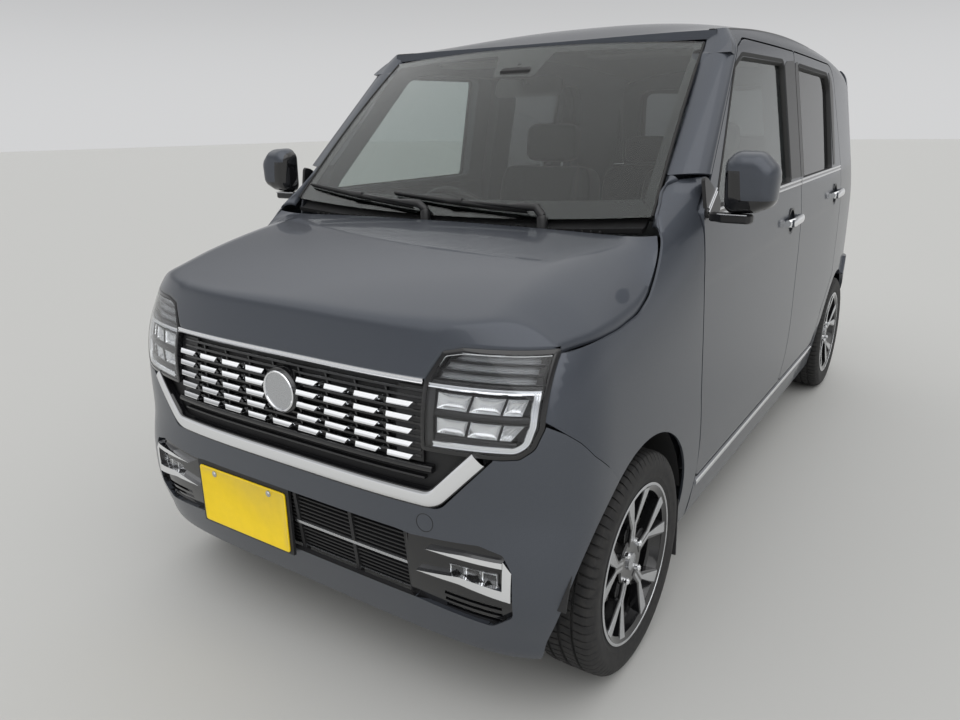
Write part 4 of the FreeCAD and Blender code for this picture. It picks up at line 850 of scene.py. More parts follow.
class KEI_OT_front_bumper(bpy.types.Operator):
    """Paints the front bumper, its opening and blades, and adds fog lamps, plate and a seam round the tow
    cover
    """
    bl_idname = "kei.front_bumper"
    bl_label = "Front bumper"

    def execute(self, context):
        zones("front_bumper", ["bumper", "gloss black", "chrome", "black", "satin"], self.finish_of)
        reflectors = [self.reflector(x) for x in (0.4805, 0.5185, 0.5565)]
        piece("fog_reflectors", both(join(reflectors)), "reflector", smooth=60)
        rim = rounded(FOG_GLASS)
        piece("fog_glass", both(cover(shrink(rim, 0.001), on_nose, -0.0125, -0.0145, 8, 20)), "lens")
        trim = band(dense(rim, 0.01), even([(0.002, -0.0115), (0.002, -0.014)]), on_nose, True)
        piece("fog_rims", both(trim), "gloss black")
        turn = np.linspace(0, 2 * np.pi, 48, endpoint=False)
        ring = np.column_stack([0.409 + 0.0205 * np.cos(turn), 0.506 + 0.0205 * np.sin(turn)])
        gap = even([(0.0007, 0.0003), (0.0007, -0.002)])
        piece("tow_cover_seam", band(ring, gap, on_nose, True), "rubber")
        self.plate()
        return {"FINISHED"}

    @staticmethod
    def finish_of(c):
        """Which finish a face has, as a place in the list: the skin is paint, the depth of the opening is
        black, its side parts are glossy, the blades are bright, and so are two thin lines in its middle."""
        x, z = np.abs(c[:, 0]), c[:, 2]
        lift = face_y(x, z) - c[:, 1]
        opening, middle = inside(OPENING, x, z), x < 0.350
        out = np.where(opening & ((lift < -0.0165) | middle), 3, 0)
        out = np.where(opening & ~middle & (lift > -0.060) & (lift < -0.0060), 1, out)
        for blade in BLADES:
            out = np.where(inside(blade, x, z) & (lift > -0.0085), 2, out)
        lines = ((z > 0.3765) & (z < 0.3845)) | ((z > 0.3055) & (z < 0.3100))
        return np.where(lines & (x < 0.352) & (lift < -0.012) & opening, 4, out)

    @staticmethod
    def reflector(x):
        """A square bowl with fine upright flutes: depth grows towards its middle, ripples across."""
        u, v = np.meshgrid(np.linspace(-1, 1, 41), np.linspace(-1, 1, 15))
        lift = -0.0165 + 0.0028 * np.maximum(np.abs(u), np.abs(v)) ** 4 + 0.0004 * np.cos(u * 9 * np.pi)
        low = on_nose(x + 0.0175 * u, 0.398 + 0.0185 * v, lift)
        return shell(low, low + np.array([0, 0.0012, 0]))

    @staticmethod
    def plate():
        """A pressed plate: flat sheet with a raised rim and a rolled edge, its two bolts near the top."""
        x0, x1, z0, z1, y = -0.356, -0.026, 0.290, 0.455, NOSE_Y + 0.0085
        edge = dense(rounded([(x0, z0), (x1, z0), (x1, z1), (x0, z1)], 0.008), 0.02)
        loops = []
        for inset, depth in ((0.0, 0.0030), (0.0, 0.0008), (0.0010, 0.0), (0.0045, 0.0), (0.0065, 0.0012)):
            o = shrink(edge, inset)
            loops.append(np.column_stack([o[:, 0], np.full(len(o), y + depth), o[:, 1]]))
        piece("front_plate_blank", capped(np.stack(loops)), "plate")
        head = [(0.0001, 0.0045), (0.0048, 0.0040), (0.0062, 0.0022), (0.0085, 0.0018), (0.0085, 0.0),
                (0.0001, 0.0)]
        bolts = [knob(head, (x, y + 0.0012, 0.440), -90, 24) for x in (-0.296, -0.086)]
        piece("plate_bolts", join(bolts), "satin")
        hold = slab_box((x0 + 0.02, y + 0.0035, z0 + 0.02), (x1 - 0.02, y + 0.010, z1 - 0.02))
        piece("plate_carrier", hold, "black")


# Grille: height of the lowest row of tabs, and the spacing of rows and columns
TAB_Z, TAB_UP, TAB_ACROSS = 0.652, 0.029, 0.088


class KEI_OT_grille(bpy.types.Operator):
    """Builds the grille: black plate and slats, bright tabs, ribs, U-shaped trim and a plain round disc"""
    bl_idname = "kei.grille"
    bl_label = "Grille"

    def execute(self, context):
        z = np.concatenate([np.linspace(0.546, 0.6705, 9), np.linspace(0.6710, 0.8235, 10)])[:, None]
        half = np.where(z < 0.6708, 0.440 + (z - 0.544) * 0.905, 0.4025)
        x = np.linspace(-1, 1, 49)[None] * half
        back = shell(on_nose(x, z, -0.024), on_nose(x, z, -0.034))
        piece("grille_back", back, "black", instead=["grille"])
        line = np.linspace(-0.398, 0.398, 41)
        slat = even([(0.0022, -0.0125), (0.0032, -0.0135), (0.0032, -0.026)])
        rows = [level_band(line, TAB_Z + TAB_UP / 2 * i, slat, on_nose) for i in range(11)]
        tie = even([(0.0022, -0.015), (0.0022, -0.026)])
        ties = []
        for row in range(5):
            z = TAB_Z + TAB_UP * row
            for x in np.arange(-4.5, 5.0, 1.0) * TAB_ACROSS:
                path = [(x * 0.985 + 0.010, z), (x * 0.985 - 0.004, z + TAB_UP)]
                ties.append(band(dense(path, 0.01, False), tie, on_nose))
        piece("grille_slats", join(rows + ties), "gloss black")
        piece("grille_tabs", self.tabs(), "chrome", smooth=25)
        panel = cover([(0.334, 0.640), (0.4022, 0.640), (0.4022, 0.806), (0.334, 0.806)], on_nose, -0.0145,
                      -0.026, 10, 8)
        piece("grille_side_panels", both(panel), "satin black")
        ribs = []
        for z0, half, high in ((0.6275, 0.425, 0.0085), (0.6045, 0.405, 0.0032)):
            a = np.linspace(0, np.pi, 11)
            bow = np.column_stack([-high * np.cos(a), -0.0130 + high * 0.9 * np.sin(a)])
            profile = [(-high, -0.030)] + bow.tolist() + [(high, -0.030)]
            ribs.append(level_band(np.linspace(-half, half, 51), z0, profile, on_nose))
        piece("grille_ribs", join(ribs), "gloss black")
        self.trims()
        self.badge_place()
        return {"FINISHED"}

    @staticmethod
    def tabs():
        """Tabs in rows and columns: one section of a face tilted to the sky over a small lip, run between
        slanted ends. Only the lowest row has one in the middle, under the badge's place."""
        section = np.array([(0.0062, -0.016), (0.0062, -0.0008), (0.0056, 0.0), (-0.0022, 0.0045),
                            (-0.0042, 0.0046), (-0.0058, 0.0026), (-0.0062, 0.0016), (-0.0062, -0.016)])
        parts = []
        for row in range(5):
            for column in range(-4, 5):
                if column == 0 and row > 0:
                    continue
                x, z = column * TAB_ACROSS, TAB_Z + TAB_UP * row
                left, right = (0.009 if column <= 0 else 0.003), (0.009 if column >= 0 else 0.003)
                low = (section[:, 0] + 0.006) / 0.012
                x0, x1 = x - 0.033 + left * (1 - low), x + 0.033 - right * (1 - low)
                ends = [(x0 + 0.0008, 0.0012), (x0, 0.0), (x1, 0.0), (x1 - 0.0008, 0.0012)]
                face = np.stack([on_nose(at, z + section[:, 0] * (1 - inset * 40), section[:, 1] - inset)
                                 for at, inset in ends])
                parts.append(capped(face))
        return join(parts)

    @staticmethod
    def trims():
        """The wide U under the grille, convex across, and the double-ridged bar over it."""
        half = [(0.5325, 0.6725), (0.4285, 0.5615, 0.055)]
        path = dense(rounded(half + [(-x, *rest) for x, *rest in half[::-1]], 0.0, 8), 0.012, False)
        path = path[path[:, 1] < 0.6726]
        t = np.linspace(-1, 1, 11)
        across = np.column_stack([t * 0.0170, 0.0048 - 0.0040 * np.abs(t) ** 3])
        profile = [(-0.0175, -0.020)] + across.tolist() + [(0.0175, -0.020)]
        piece("grille_u_trim", band(path, profile, on_nose), "chrome", smooth=30)
        edge = [(0.0172, -0.020), (0.0172, 0.0012), (0.0192, 0.0012), (0.0202, 0.0), (0.0202, -0.020)]
        edges = [band(path, [(way * a, b) for a, b in edge], on_nose) for way in (1, -1)]
        piece("grille_u_edges", join(edges), "gloss black")
        ridges = [(-0.006, -0.020), (-0.006, 0.0015), (-0.0042, 0.0036), (-0.0022, 0.0030),
                  (-0.0012, 0.0014), (0.0006, 0.0014), (0.0020, 0.0034), (0.0045, 0.0040), (0.006, 0.0018),
                  (0.006, -0.020)]
        line = np.linspace(-0.403, 0.403, 61)
        piece("grille_top_bar", level_band(line, 0.818, ridges, on_nose), "chrome", smooth=25)

    @staticmethod
    def badge_place():
        """A plain disc with a raised bright rim where the badge would be."""
        z = 0.732
        at = (0, float(face_y(0.0, z)), z)
        rim = [(0.0440, 0.0030), (0.0455, 0.0060), (0.0480, 0.0072), (0.0500, 0.0050), (0.0505, -0.020),
               (0.0440, -0.020)]
        disc = [(0.0001, 0.0044), (0.020, 0.0041), (0.036, 0.0034), (0.0442, 0.0030), (0.0442, -0.010),
                (0.0001, -0.010)]
        boss = [(0.0001, -0.001), (0.0545, -0.001), (0.0560, -0.003), (0.0560, -0.024), (0.0001, -0.024)]
        for name, profile, finish in (("rim", rim, "chrome"), ("disc", disc, "satin"),
                                      ("boss", boss, "gloss black")):
            piece("badge_" + name, knob(profile, at, -90, 64), finish, slot="grille_chrome", smooth=30)


# Headlamp, as (x, z) of the left lamp: its outline and its six chambers
LAMP = [(0.405, 0.674, 0.010), (0.580, 0.677), (0.612, 0.681, 0.020), (0.638, 0.702, 0.030),
        (0.652, 0.745, 0.030), (0.650, 0.892, 0.006), (0.480, 0.892), (0.438, 0.882, 0.010),
        (0.405, 0.818, 0.006)]
# Four x of each chamber round from its lower inner corner, by row of (lower z, upper z)
CHAMBER_ROWS = (
    (0.767, 0.801, (0.434, 0.502, 0.510, 0.434), (0.506, 0.571, 0.579, 0.514), (0.575, 0.612, 0.621, 0.583)),
    (0.713, 0.748, (0.436, 0.500, 0.508, 0.436), (0.504, 0.568, 0.576, 0.512), (0.572, 0.594, 0.620, 0.580)))
CHAMBERS = [[(a, low), (b, low), (c, high), (d, high)]
            for low, high, *row in CHAMBER_ROWS for a, b, c, d in row]
# Slits over the chambers: lower z, upper z, and inner x at both
SLITS = [[(a, low), (0.628, low), (0.628, high), (b, high)]
         for low, high, a, b in ((0.829, 0.842, 0.431, 0.437), (0.849, 0.862, 0.440, 0.450),
                                 (0.868, 0.880, 0.456, 0.476))]


class KEI_OT_headlamps(bpy.types.Operator):
    """Builds both headlamps: housing, fluted reflectors, bright hook and bar, clear cover"""
    bl_idname = "kei.headlamps"
    bl_label = "Headlamps"

    def execute(self, context):
        outline = rounded(LAMP)
        floor = cover(shrink(outline, 0.002), on_nose, -0.030, -0.058)
        piece("lamp_housings", both(floor), "satin black", instead=["headlamps"])
        rim = [(0.000, -0.040), (0.000, -0.0008), (0.0012, 0.0), (0.0080, 0.0), (0.0095, -0.0020),
               (0.0095, -0.040)]
        piece("lamp_surrounds", both(band(dense(outline, 0.012), rim, on_nose, True)), "gloss black")
        piece("lamp_reflectors", both(join([self.bowl(c, 7, 0) for c in CHAMBERS])), "reflector", smooth=60)
        piece("lamp_marker_strips", both(join([self.bowl(c, 0, 2) for c in SLITS])), "marker", smooth=60)
        shelf = []
        for z, half, x0, x1 in ((0.7575, 0.0085, 0.430, 0.632), (0.8215, 0.0055, 0.420, 0.640),
                                (0.8455, 0.0030, 0.436, 0.636), (0.8650, 0.0026, 0.452, 0.636),
                                (0.7040, 0.0080, 0.434, 0.606)):
            a = np.linspace(0, np.pi, 7)
            bow = np.column_stack([-half * np.cos(a), -0.0145 + 0.005 * np.sin(a)])
            profile = [(-half, -0.032)] + bow.tolist() + [(half, -0.032)]
            shelf.append(level_band(np.linspace(x0, x1, 15), z, profile, on_nose))
        wall = [(-0.0016, -0.032), (-0.0016, -0.0120), (0.0004, -0.0120), (0.0004, -0.032)]
        shelf += [band(dense(chamber, 0.01), wall, on_nose, True) for chamber in CHAMBERS]
        piece("lamp_shelves", both(join(shelf)), "satin black")
        panel = [(0.4135, 0.684), (0.431, 0.684), (0.431, 0.808), (0.4135, 0.808)]
        piece("lamp_inner_panels", both(cover(panel, on_nose, -0.008, -0.032, 10, 5)), "gloss black")
        self.hook()
        glass = cover(shrink(outline, 0.0085), on_nose, -0.0008, -0.0026, 26, 34)
        piece("lamp_covers", both(glass), "lens", smooth=60)
        return {"FINISHED"}

    @staticmethod
    def bowl(corners, upright, level):
        """A chamber's bright floor: corners blended over a grid, deepest in the middle, with ripples across
        or, where level is given, up."""
        u, v = np.meshgrid(np.linspace(0, 1, 61 if upright else 9), np.linspace(0, 1, 13 if upright else 17))
        weights = ((1 - u) * (1 - v), u * (1 - v), u * v, (1 - u) * v)
        at = sum(weight[..., None] * np.array(corner) for weight, corner in zip(weights, corners))
        side = np.maximum(np.abs(2 * u - 1) ** 4, np.abs(2 * v - 1) ** 3)
        lift = -0.026 + 0.011 * side + 0.0007 * np.cos(upright * 4 * np.pi * (u + 0.25 * v))
        if level:
            lift = -0.022 + 0.004 * np.abs(2 * v - 1) ** 2 + 0.0012 * np.cos(level * 2 * np.pi * v)
        front = on_nose(at[..., 0], at[..., 1], lift)
        return shell(front, front + np.array([0.0, 0.0015, 0.0]))

    @staticmethod
    def hook():
        """The bright trim: along the bottom, up the outer side, and back along the middle; and a thin line
        over it."""
        double = [(-0.0075, -0.032), (-0.0075, -0.0060), (-0.0050, -0.0035), (-0.0020, -0.0042),
                  (-0.0008, -0.0062), (0.0014, -0.0062), (0.0030, -0.0036), (0.0058, -0.0034),
                  (0.0072, -0.0058), (0.0072, -0.032)]
        low = rounded([(0.432, 0.6915), (0.604, 0.6965, 0.030), (0.624, 0.711, 0.030),
                       (0.6335, 0.748, 0.040), (0.6335, 0.8135)], 0.0, 6)
        bar, narrow = [(0.4135, 0.8135), (0.6385, 0.8135)], [(a * 0.72, b) for a, b in double]
        parts = [band(dense(path, step, False), profile, on_nose)
                 for path, step, profile in ((low[:-1], 0.008, double), (low[-2:], 0.008, double),
                                             (bar, 0.01, narrow))]
        piece("lamp_hooks", both(join(parts)), "chrome", smooth=25)
        thin = even([(0.0, -0.0028), (0.0013, -0.0036), (0.0013, -0.012)])
        line = rounded([(0.4150, 0.822), (0.4440, 0.8735, 0.012), (0.482, 0.8810), (0.640, 0.8815)], 0.0, 6)
        piece("lamp_top_lines", both(band(dense(line, 0.01, False), thin, on_nose)), "chrome", smooth=25)


# Windows as (y, z) of the left side, the same outlines that the doors are cut to
FRONT_WINDOW = [(-0.800, 1.100, 0.020), (-0.530, 1.460, 0.050), (-0.450, 1.494, 0.070),
                (0.060, 1.504, 0.025), (0.060, 1.106, 0.025)]
REAR_WINDOW = [(0.286, 1.106, 0.025), (0.286, 1.504, 0.025), (0.850, 1.496, 0.060), (0.884, 1.440, 0.060),
               (0.846, 1.114, 0.025)]
TAIL_WINDOW = [(-0.492, 1.128, 0.040), (0.492, 1.128, 0.040), (0.478, 1.500, 0.060), (-0.478, 1.500, 0.060)]


class KEI_OT_glazing(bpy.types.Operator):
    """Glazes the car and adds the black print, seals and wipers"""
    bl_idname = "kei.glazing"
    bl_label = "Glazing"

    def execute(self, context):
        dress(["windscreen"], "glass")
        dress(["glass_front_left", "glass_front_right"], "side glass")
        dress(["glass_rear_left", "glass_rear_right", "tailgate_glass"], "privacy glass")
        self.windscreen_print()
        self.seals()
        self.wipers()
        return {"FINISHED"}

    @staticmethod
    def windscreen_print():
        """The black border behind the windscreen: side, top and bottom strips of the sheet set in by its
        thickness, with a deeper tab at the top for the camera."""
        foot, top, tab, behind = 0.034, 0.975, 0.80, -0.0060
        t = np.linspace(foot, top, 31)[:, None]
        half = SCREEN_FOOT[0] + SCREEN_RUN[0] * t
        strips, edge = [], []
        for way in (-1.0, 1.0):
            x = way * (half * 0.985 - np.linspace(0.0, 1.0, 4)[None] * (0.030 - 0.010 * t))
            strips.append(shell(on_screen(x, t, behind + 0.0002), on_screen(x, t, behind - 0.0006)))
            edge.append(tube(on_screen((way * half * 0.991)[:, 0], t[:, 0], -0.001), 0.0042, 8))
        for t0, t1 in ((foot, 0.118), (0.945, 0.980)):
            x = np.linspace(-1, 1, 41)[None] * 0.612 * (0.985 - 0.095 * t0)
            v = np.linspace(t0, t1, 5)[:, None]
            strips.append(shell(on_screen(x, v, behind), on_screen(x, v, behind - 0.0008)))
        v = np.linspace(tab, 0.96, 9)[:, None]
        x = np.linspace(-0.105, 0.105, 9)[None] * (0.70 + 0.30 * (v - tab) / 0.16)
        strips.append(shell(on_screen(x, v, behind - 0.0002), on_screen(x, v, behind - 0.0030)))
        piece("windscreen_print", join(strips), "frit")
        piece("windscreen_side_seals", join(edge), "rubber")

    @staticmethod
    def seals():
        """Rubber round each side window, down the reveal to the glass, and the black centre pillar
        covers."""
        lips = [(-0.013, -0.003), (-0.013, 0.0009), (-0.006, 0.0014), (-0.001, 0.0006), (0.0025, -0.004),
                (0.007, -0.0125), (0.007, -0.0150), (-0.002, -0.0150)]
        for name, outline in (("front", FRONT_WINDOW), ("rear", REAR_WINDOW)):
            ring = band(dense(rounded(outline), 0.02)[::-1], lips, on_flank, True)
            per_side("window_seal_" + name, ring, "rubber", f"door_{name}_%s")
        for name, x0, x1 in (("front", 0.071, 0.2245), ("rear", 0.2315, 0.2755)):
            corners = [(x0, 1.118), (x1, 1.118), (x1, 1.520), (x0, 1.512)]
            per_side("pillar_cover_" + name, cover(corners, on_flank, 0.0016, -0.0005, 14, 6), "satin black",
                     f"door_{name}_%s")
        corners = [(0.893, 1.130), (0.930, 1.130), (0.962, 1.440), (0.925, 1.496), (0.880, 1.510),
                   (0.893, 1.470)]
        per_side("quarter_cover", cover(corners, on_flank, 0.0014, -0.0005, 14, 5), "satin black",
                 "door_rear_%s")
        path = dense(rounded(TAIL_WINDOW), 0.03)
        ring = band(path, [(-0.012, -0.003), (-0.012, 0.0010), (0.0, 0.0012), (0.020, -0.0034),
                           (0.022, -0.0050), (-0.002, -0.0060)], on_tail, True)
        piece("tail_window_seal", ring, "rubber", "tailgate")

    @staticmethod
    def wipers():
        """Cowl: a dished grained strip under the windscreen. Arms: tapered bars bent at a shoulder, with
        blades."""
        x = np.linspace(-0.602, 0.602, 41)[None]
        v = np.linspace(0, 1, 9)[:, None]
        y = -1.052 + 0.030 * (x / 0.628) ** 2 + 0.046 * v
        z = 1.046 + 0.022 * (x / 0.628) ** 2 + 0.024 * v - 0.010 * np.sin(np.pi * v) ** 0.8
        top = np.stack([x + 0 * v, y, z], -1)
        parts = [shell(top, top - np.array([0, -0.004, 0.012]))]
        for offset in np.linspace(-0.50, 0.50, 41):
            parts.append(slab_box((offset - 0.006, -1.040, 1.040), (offset - 0.002, -1.022, 1.0545), 0.0008))
        piece("cowl", join(parts), "black", instead=["wiper_cowl"])
        arms, blades, rubbers = [], [], []
        for pivot, tip, rise in ((-0.060, -0.585, 0.085), (0.330, -0.205, 0.095)):
            way = math.copysign(1.0, tip - pivot)
            reach = abs(tip - pivot)
            foot = np.array([pivot, -1.040, 1.084])
            arms.append(tube([foot + (0, 0, -0.045), foot + (0, 0, -0.004), foot + (0, 0, 0.004)],
                             [0.015, 0.015, 0.010], 16))
            share = np.linspace(0, 1, 18)
            t = 0.045 + rise * 0.45 * share
            middle = on_screen(pivot + way * reach * 0.56 * share, t, 0.030 - 0.014 * share)
            middle[0] = foot
            arms.append(tube(middle, np.interp(share, [0, 0.25, 0.35, 1], [0.012, 0.010, 0.0055, 0.0045]),
                             10))
            along = np.linspace(0, 1, 30)
            x = pivot + way * reach * (0.10 + 0.90 * along)
            t = 0.052 + rise * 0.62 * along
            spine = on_screen(x, t, 0.0135 + 0.004 * np.sin(np.pi * along))
            blades.append(tube(spine, 0.0062 * np.sin(np.pi * np.clip(along * 0.96 + 0.02, 0, 1)) ** 0.35,
                               8))
            rubbers.append(shell(on_screen(np.stack([x, x]), np.stack([t - 0.003, t + 0.003]), 0.0125),
                                 on_screen(np.stack([x, x]), np.stack([t - 0.001, t + 0.001]), 0.0015)))
            clip = on_screen(pivot + way * reach * np.array([0.50, 0.60]), 0.052 + rise * 0.62 * 0.5, 0.018)
            blades.append(tube(clip, 0.0085, 10))
        piece("wiper_arms", join(arms), "satin black")
        piece("wiper_blades", join(blades), "black")
        piece("wiper_rubbers", join(rubbers), "rubber")


class KEI_OT_side_trim(bpy.types.Operator):
    """Adds the belt mouldings, sill strips, roof mouldings, handles, arch liners and mud flaps"""
    bl_idname = "kei.side_trim"
    bl_label = "Side trim"

    def execute(self, context):
        base = even([(0.0105, 0.0016), (0.0105, -0.001)])
        bead = even([(0.0, 0.0046), (0.0030, 0.0030), (0.0032, 0.0005)])
        for name, y0, y1 in (("front", -0.792, 0.2245), ("rear", 0.2315, 1.066)):
            y = np.linspace(y0, y1, 30)
            line = np.column_stack([y, 1.0895 + 0.0205 * (y + 0.80) / 1.87])
            per_side("belt_base_" + name, band(line, base, on_flank), "gloss black", f"door_{name}_%s")
            beads = [band(line + (0, off), bead, on_flank) for off in (-0.0068, 0.0068)]
            per_side("belt_chrome_" + name, join(beads), "chrome", f"door_{name}_%s")
        strip = even([(0.0060, 0.0058), (0.0095, 0.0030), (0.0095, -0.003)])
        sill = level_band(np.linspace(-0.786, 0.862, 50), 0.2985, strip, on_flank)
        per_side("sill_strip", sill, "chrome", smooth=30)
        flat = even([(0.006, 0.0030), (0.009, 0.0018), (0.009, -0.004)])
        per_side("roof_moulding", level_band(np.linspace(-0.500, 1.535, 60), 0.5755, flat, self.on_roof),
                 "satin black")
        # Round each handle a thin flat satin black ring: painted shade along the rim of the handle's recess,
        # which is body colour on the car
        rim = [(0.0385, 0.0008), (0.0445, 0.0008), (0.0455, -0.0006), (0.0385, -0.0010)]
        for name, y, z in (("front", 0.070, 0.975), ("rear", 0.925, 1.003)):
            per_side("handle_" + name, self.handle(y, z), "chrome", f"door_{name}_%s", smooth=50)
            at = (float(side_x(y - 0.006, z)), y - 0.006, z)
            per_side("handle_bowl_" + name, lathe(rim, at, 48), "satin black", f"door_{name}_%s")
        self.arches()
        return {"FINISHED"}

    @staticmethod
    def on_roof(y, x, lift):
        """Points of the roof at (y, x), lifted straight up."""
        return np.stack([x, y, roof_z(x, y) + lift], -1)

    @staticmethod
    def handle(y, z):
        """A pull handle: an oval section run along a bar that bows outwards and turns in at both ends."""
        s = np.linspace(-1, 1, 33)
        reach = 0.0235 - 0.016 * np.abs(s) ** 5
        path = on_flank(y + 0.0935 * s, z + 0.0010 + 0.0025 * s, reach)
        a = np.linspace(0, 2 * np.pi, 20, endpoint=False)[None]
        wide = 0.0165 * (1 - 0.30 * np.abs(s) ** 6)[:, None]
        ring = np.stack(np.broadcast_arrays(0.0105 * np.cos(a), 0.0, wide * np.sin(a)), -1)
        return capped(path[:, None, :] + ring)

    @staticmethod
    def arches():
        """Liners: strips bent round the front wheel openings. Flaps: small bowed plates behind the front
        wheels."""
        a = np.radians(np.linspace(12, 168, 61))[:, None]
        x = np.linspace(0.600, 0.705, 7)[None]
        sheets = []
        for r in (ARCH_R + 0.0095, ARCH_R + 0.0055):
            arc = (x, AXLE_Y[0] - r * np.cos(a), ARCH_Z + r * np.sin(a))
            sheets.append(np.stack(np.broadcast_arrays(*arc), -1))
        per_side("arch_liner", shell(*sheets), "black", slot="underbody_coat")
        u, v = np.meshgrid(np.linspace(0.585, 0.708, 9), np.linspace(0.118, 0.300, 9))
        front = np.stack([u, -0.921 + 0.10 * (0.300 - v) ** 1.5 + 1.5 * (u - 0.646) ** 2, v], -1)
        per_side("mud_flap", shell(front, front + np.array([0, 0.005, 0])), "black")


class KEI_OT_mirrors(bpy.types.Operator):
    """Builds the door mirrors: a rounded housing with a painted cap, its glass, the arm and the black
    sail"""
    bl_idname = "kei.mirrors"
    bl_label = "Door mirrors"

    def execute(self, context):
        face = rounded([(0.762, 1.097, 0.026), (0.838, 1.101, 0.030), (0.884, 1.120, 0.030),
                        (0.889, 1.206, 0.042), (0.850, 1.246, 0.040), (0.786, 1.249, 0.034),
                        (0.760, 1.224, 0.026)], 0.0, 8)
        face = dense(face, 0.005)
        middle = np.array([0.826, 1.176])
        rings = [(0.875, -0.8885), (0.905, -0.8800), (0.935, -0.8690), (0.960, -0.8672), (0.985, -0.8690),
                 (1.0, -0.8750)]
        rings += [(np.cos(t) ** 0.42, -0.885 - 0.0515 * np.sin(t))
                  for t in np.radians(np.linspace(0, 88, 20))]
        loops = [middle + share * (face - middle) for share, _ in rings]
        shape = capped(np.stack([np.insert(loop, 1, y, axis=1) for loop, (_, y) in zip(loops, rings)]))
        glass = cover(middle + 0.90 * (face - middle), self.upright, 0.0, -0.003, 14, 16)
        per_side("mirror_glass", glass, "mirror glass", "door_front_%s")
        for side, way in SIDES:
            obj = piece("mirror_housing_" + side, shape if way > 0 else mirrored(shape), "gloss black",
                        "door_front_" + side, "paint", 50, ["mirror_" + side])
            self.cap(obj.data, way)
        levels = ((1.0765, 0.004), (1.0805, 0.0), (1.0950, 0.0), (1.0990, 0.004))
        outline = rounded([(0.728, -0.896), (0.742, -0.897), (0.762, -0.914, 0.008), (0.832, -0.918, 0.012),
                           (0.838, -0.884, 0.012), (0.728, -0.866)])
        arm = capped(np.stack([np.insert(shrink(outline, by), 2, z, axis=1) for z, by in levels]))
        per_side("mirror_arm", arm, "satin black", "door_front_%s")
        sail = [(-0.896, 1.082, 0.006), (-0.786, 1.092, 0.006), (-0.776, 1.122, 0.01), (-0.862, 1.178, 0.02),
                (-0.893, 1.186, 0.01)]
        per_side("mirror_sail", cover(rounded(sail), on_flank, 0.0055, -0.004, 16, 16), "satin black",
                 "door_front_%s")
        line = np.array([(-0.885, 1.101), (-0.806, 1.146)])
        bead = even([(0, 0.0090), (0.0028, 0.0074), (0.0028, 0.0040)])
        strips = [band(dense(line + (0, off), 0.01, False), bead, on_flank) for off in (-0.0045, 0.0045)]
        per_side("mirror_sail_strips", join(strips), "chrome", "door_front_%s")
        edge = [(0.752, -0.9105, 1.0975), (0.766, -0.9165, 1.0975), (0.826, -0.9195, 1.0975)]
        per_side("mirror_arm_line", tube(edge, 0.0018, 8), "satin", "door_front_%s")
        return {"FINISHED"}

    @staticmethod
    def upright(x, z, lift):
        """Points of the mirror glass's plane, which stands across the car."""
        return np.stack(np.broadcast_arrays(x, -0.8875 + lift, z), -1)

    @staticmethod
    def cap(mesh, way):
        """Cuts the housing along the cap's edges and paints the outer and upper part in front of the rear
        rim. The outer part starts at a line that leans outwards as it goes down."""
        mesh.materials.append(FINISH["paint"])
        bm = bmesh.new()
        bm.from_mesh(mesh)
        lean, inner, height, low, high, rear = 0.116, 0.799, 1.250, 1.134, 1.203, -0.8785
        for at, normal in (((way * inner, 0, height), (way, 0, lean)), ((0, 0, low), (0, 0, 1)),
                           ((0, 0, high), (0, 0, 1)), ((0, rear, 0), (0, 1, 0))):
            bmesh.ops.bisect_plane(bm, geom=bm.verts[:] + bm.edges[:] + bm.faces[:], dist=1e-6, plane_co=at,
                                   plane_no=normal)
        for face in bm.faces:
            c = face.calc_center_median()
            outer = way * c.x - inner > lean * (height - c.z)
            cap = c.y < rear and (c.z > high and way * c.x > 0.772 or c.z > low and outer)
            face.material_index = int(cap and (c.y < rear - 0.0105 or face.normal.y < 0.5))
        bm.to_mesh(mesh)
        bm.free()


# Wheel sections, as (radius, offset): the bright rim edge, a nut, the centre cap and the brakes
RIM_EDGE = [(0.1955, 0.0722), (0.1965, 0.0738), (0.2010, 0.0742), (0.2033, 0.0730), (0.2036, 0.0705),
            (0.1955, 0.0700)]
NUT = [(0.0001, 0.014), (0.0055, 0.0125), (0.0085, 0.009), (0.0092, 0.0), (0.0001, 0.0)]
CENTRE_CAP = [(0.0001, 0.0600), (0.018, 0.0596), (0.0215, 0.0580), (0.0215, 0.050), (0.0001, 0.050)]
BRAKES = {
    "front": [(0.046, -0.0040), (0.118, -0.0040), (0.118, -0.0005), (0.112, 0.0005), (0.112, 0.0035),
              (0.118, 0.0045), (0.118, 0.0080), (0.066, 0.0080), (0.064, 0.0300), (0.046, 0.0300)],
    "rear": [(0.046, -0.0100), (0.102, -0.0100), (0.108, -0.0060), (0.108, 0.0120), (0.100, 0.0180),
             (0.060, 0.0200), (0.056, 0.0300), (0.046, 0.0300)]}


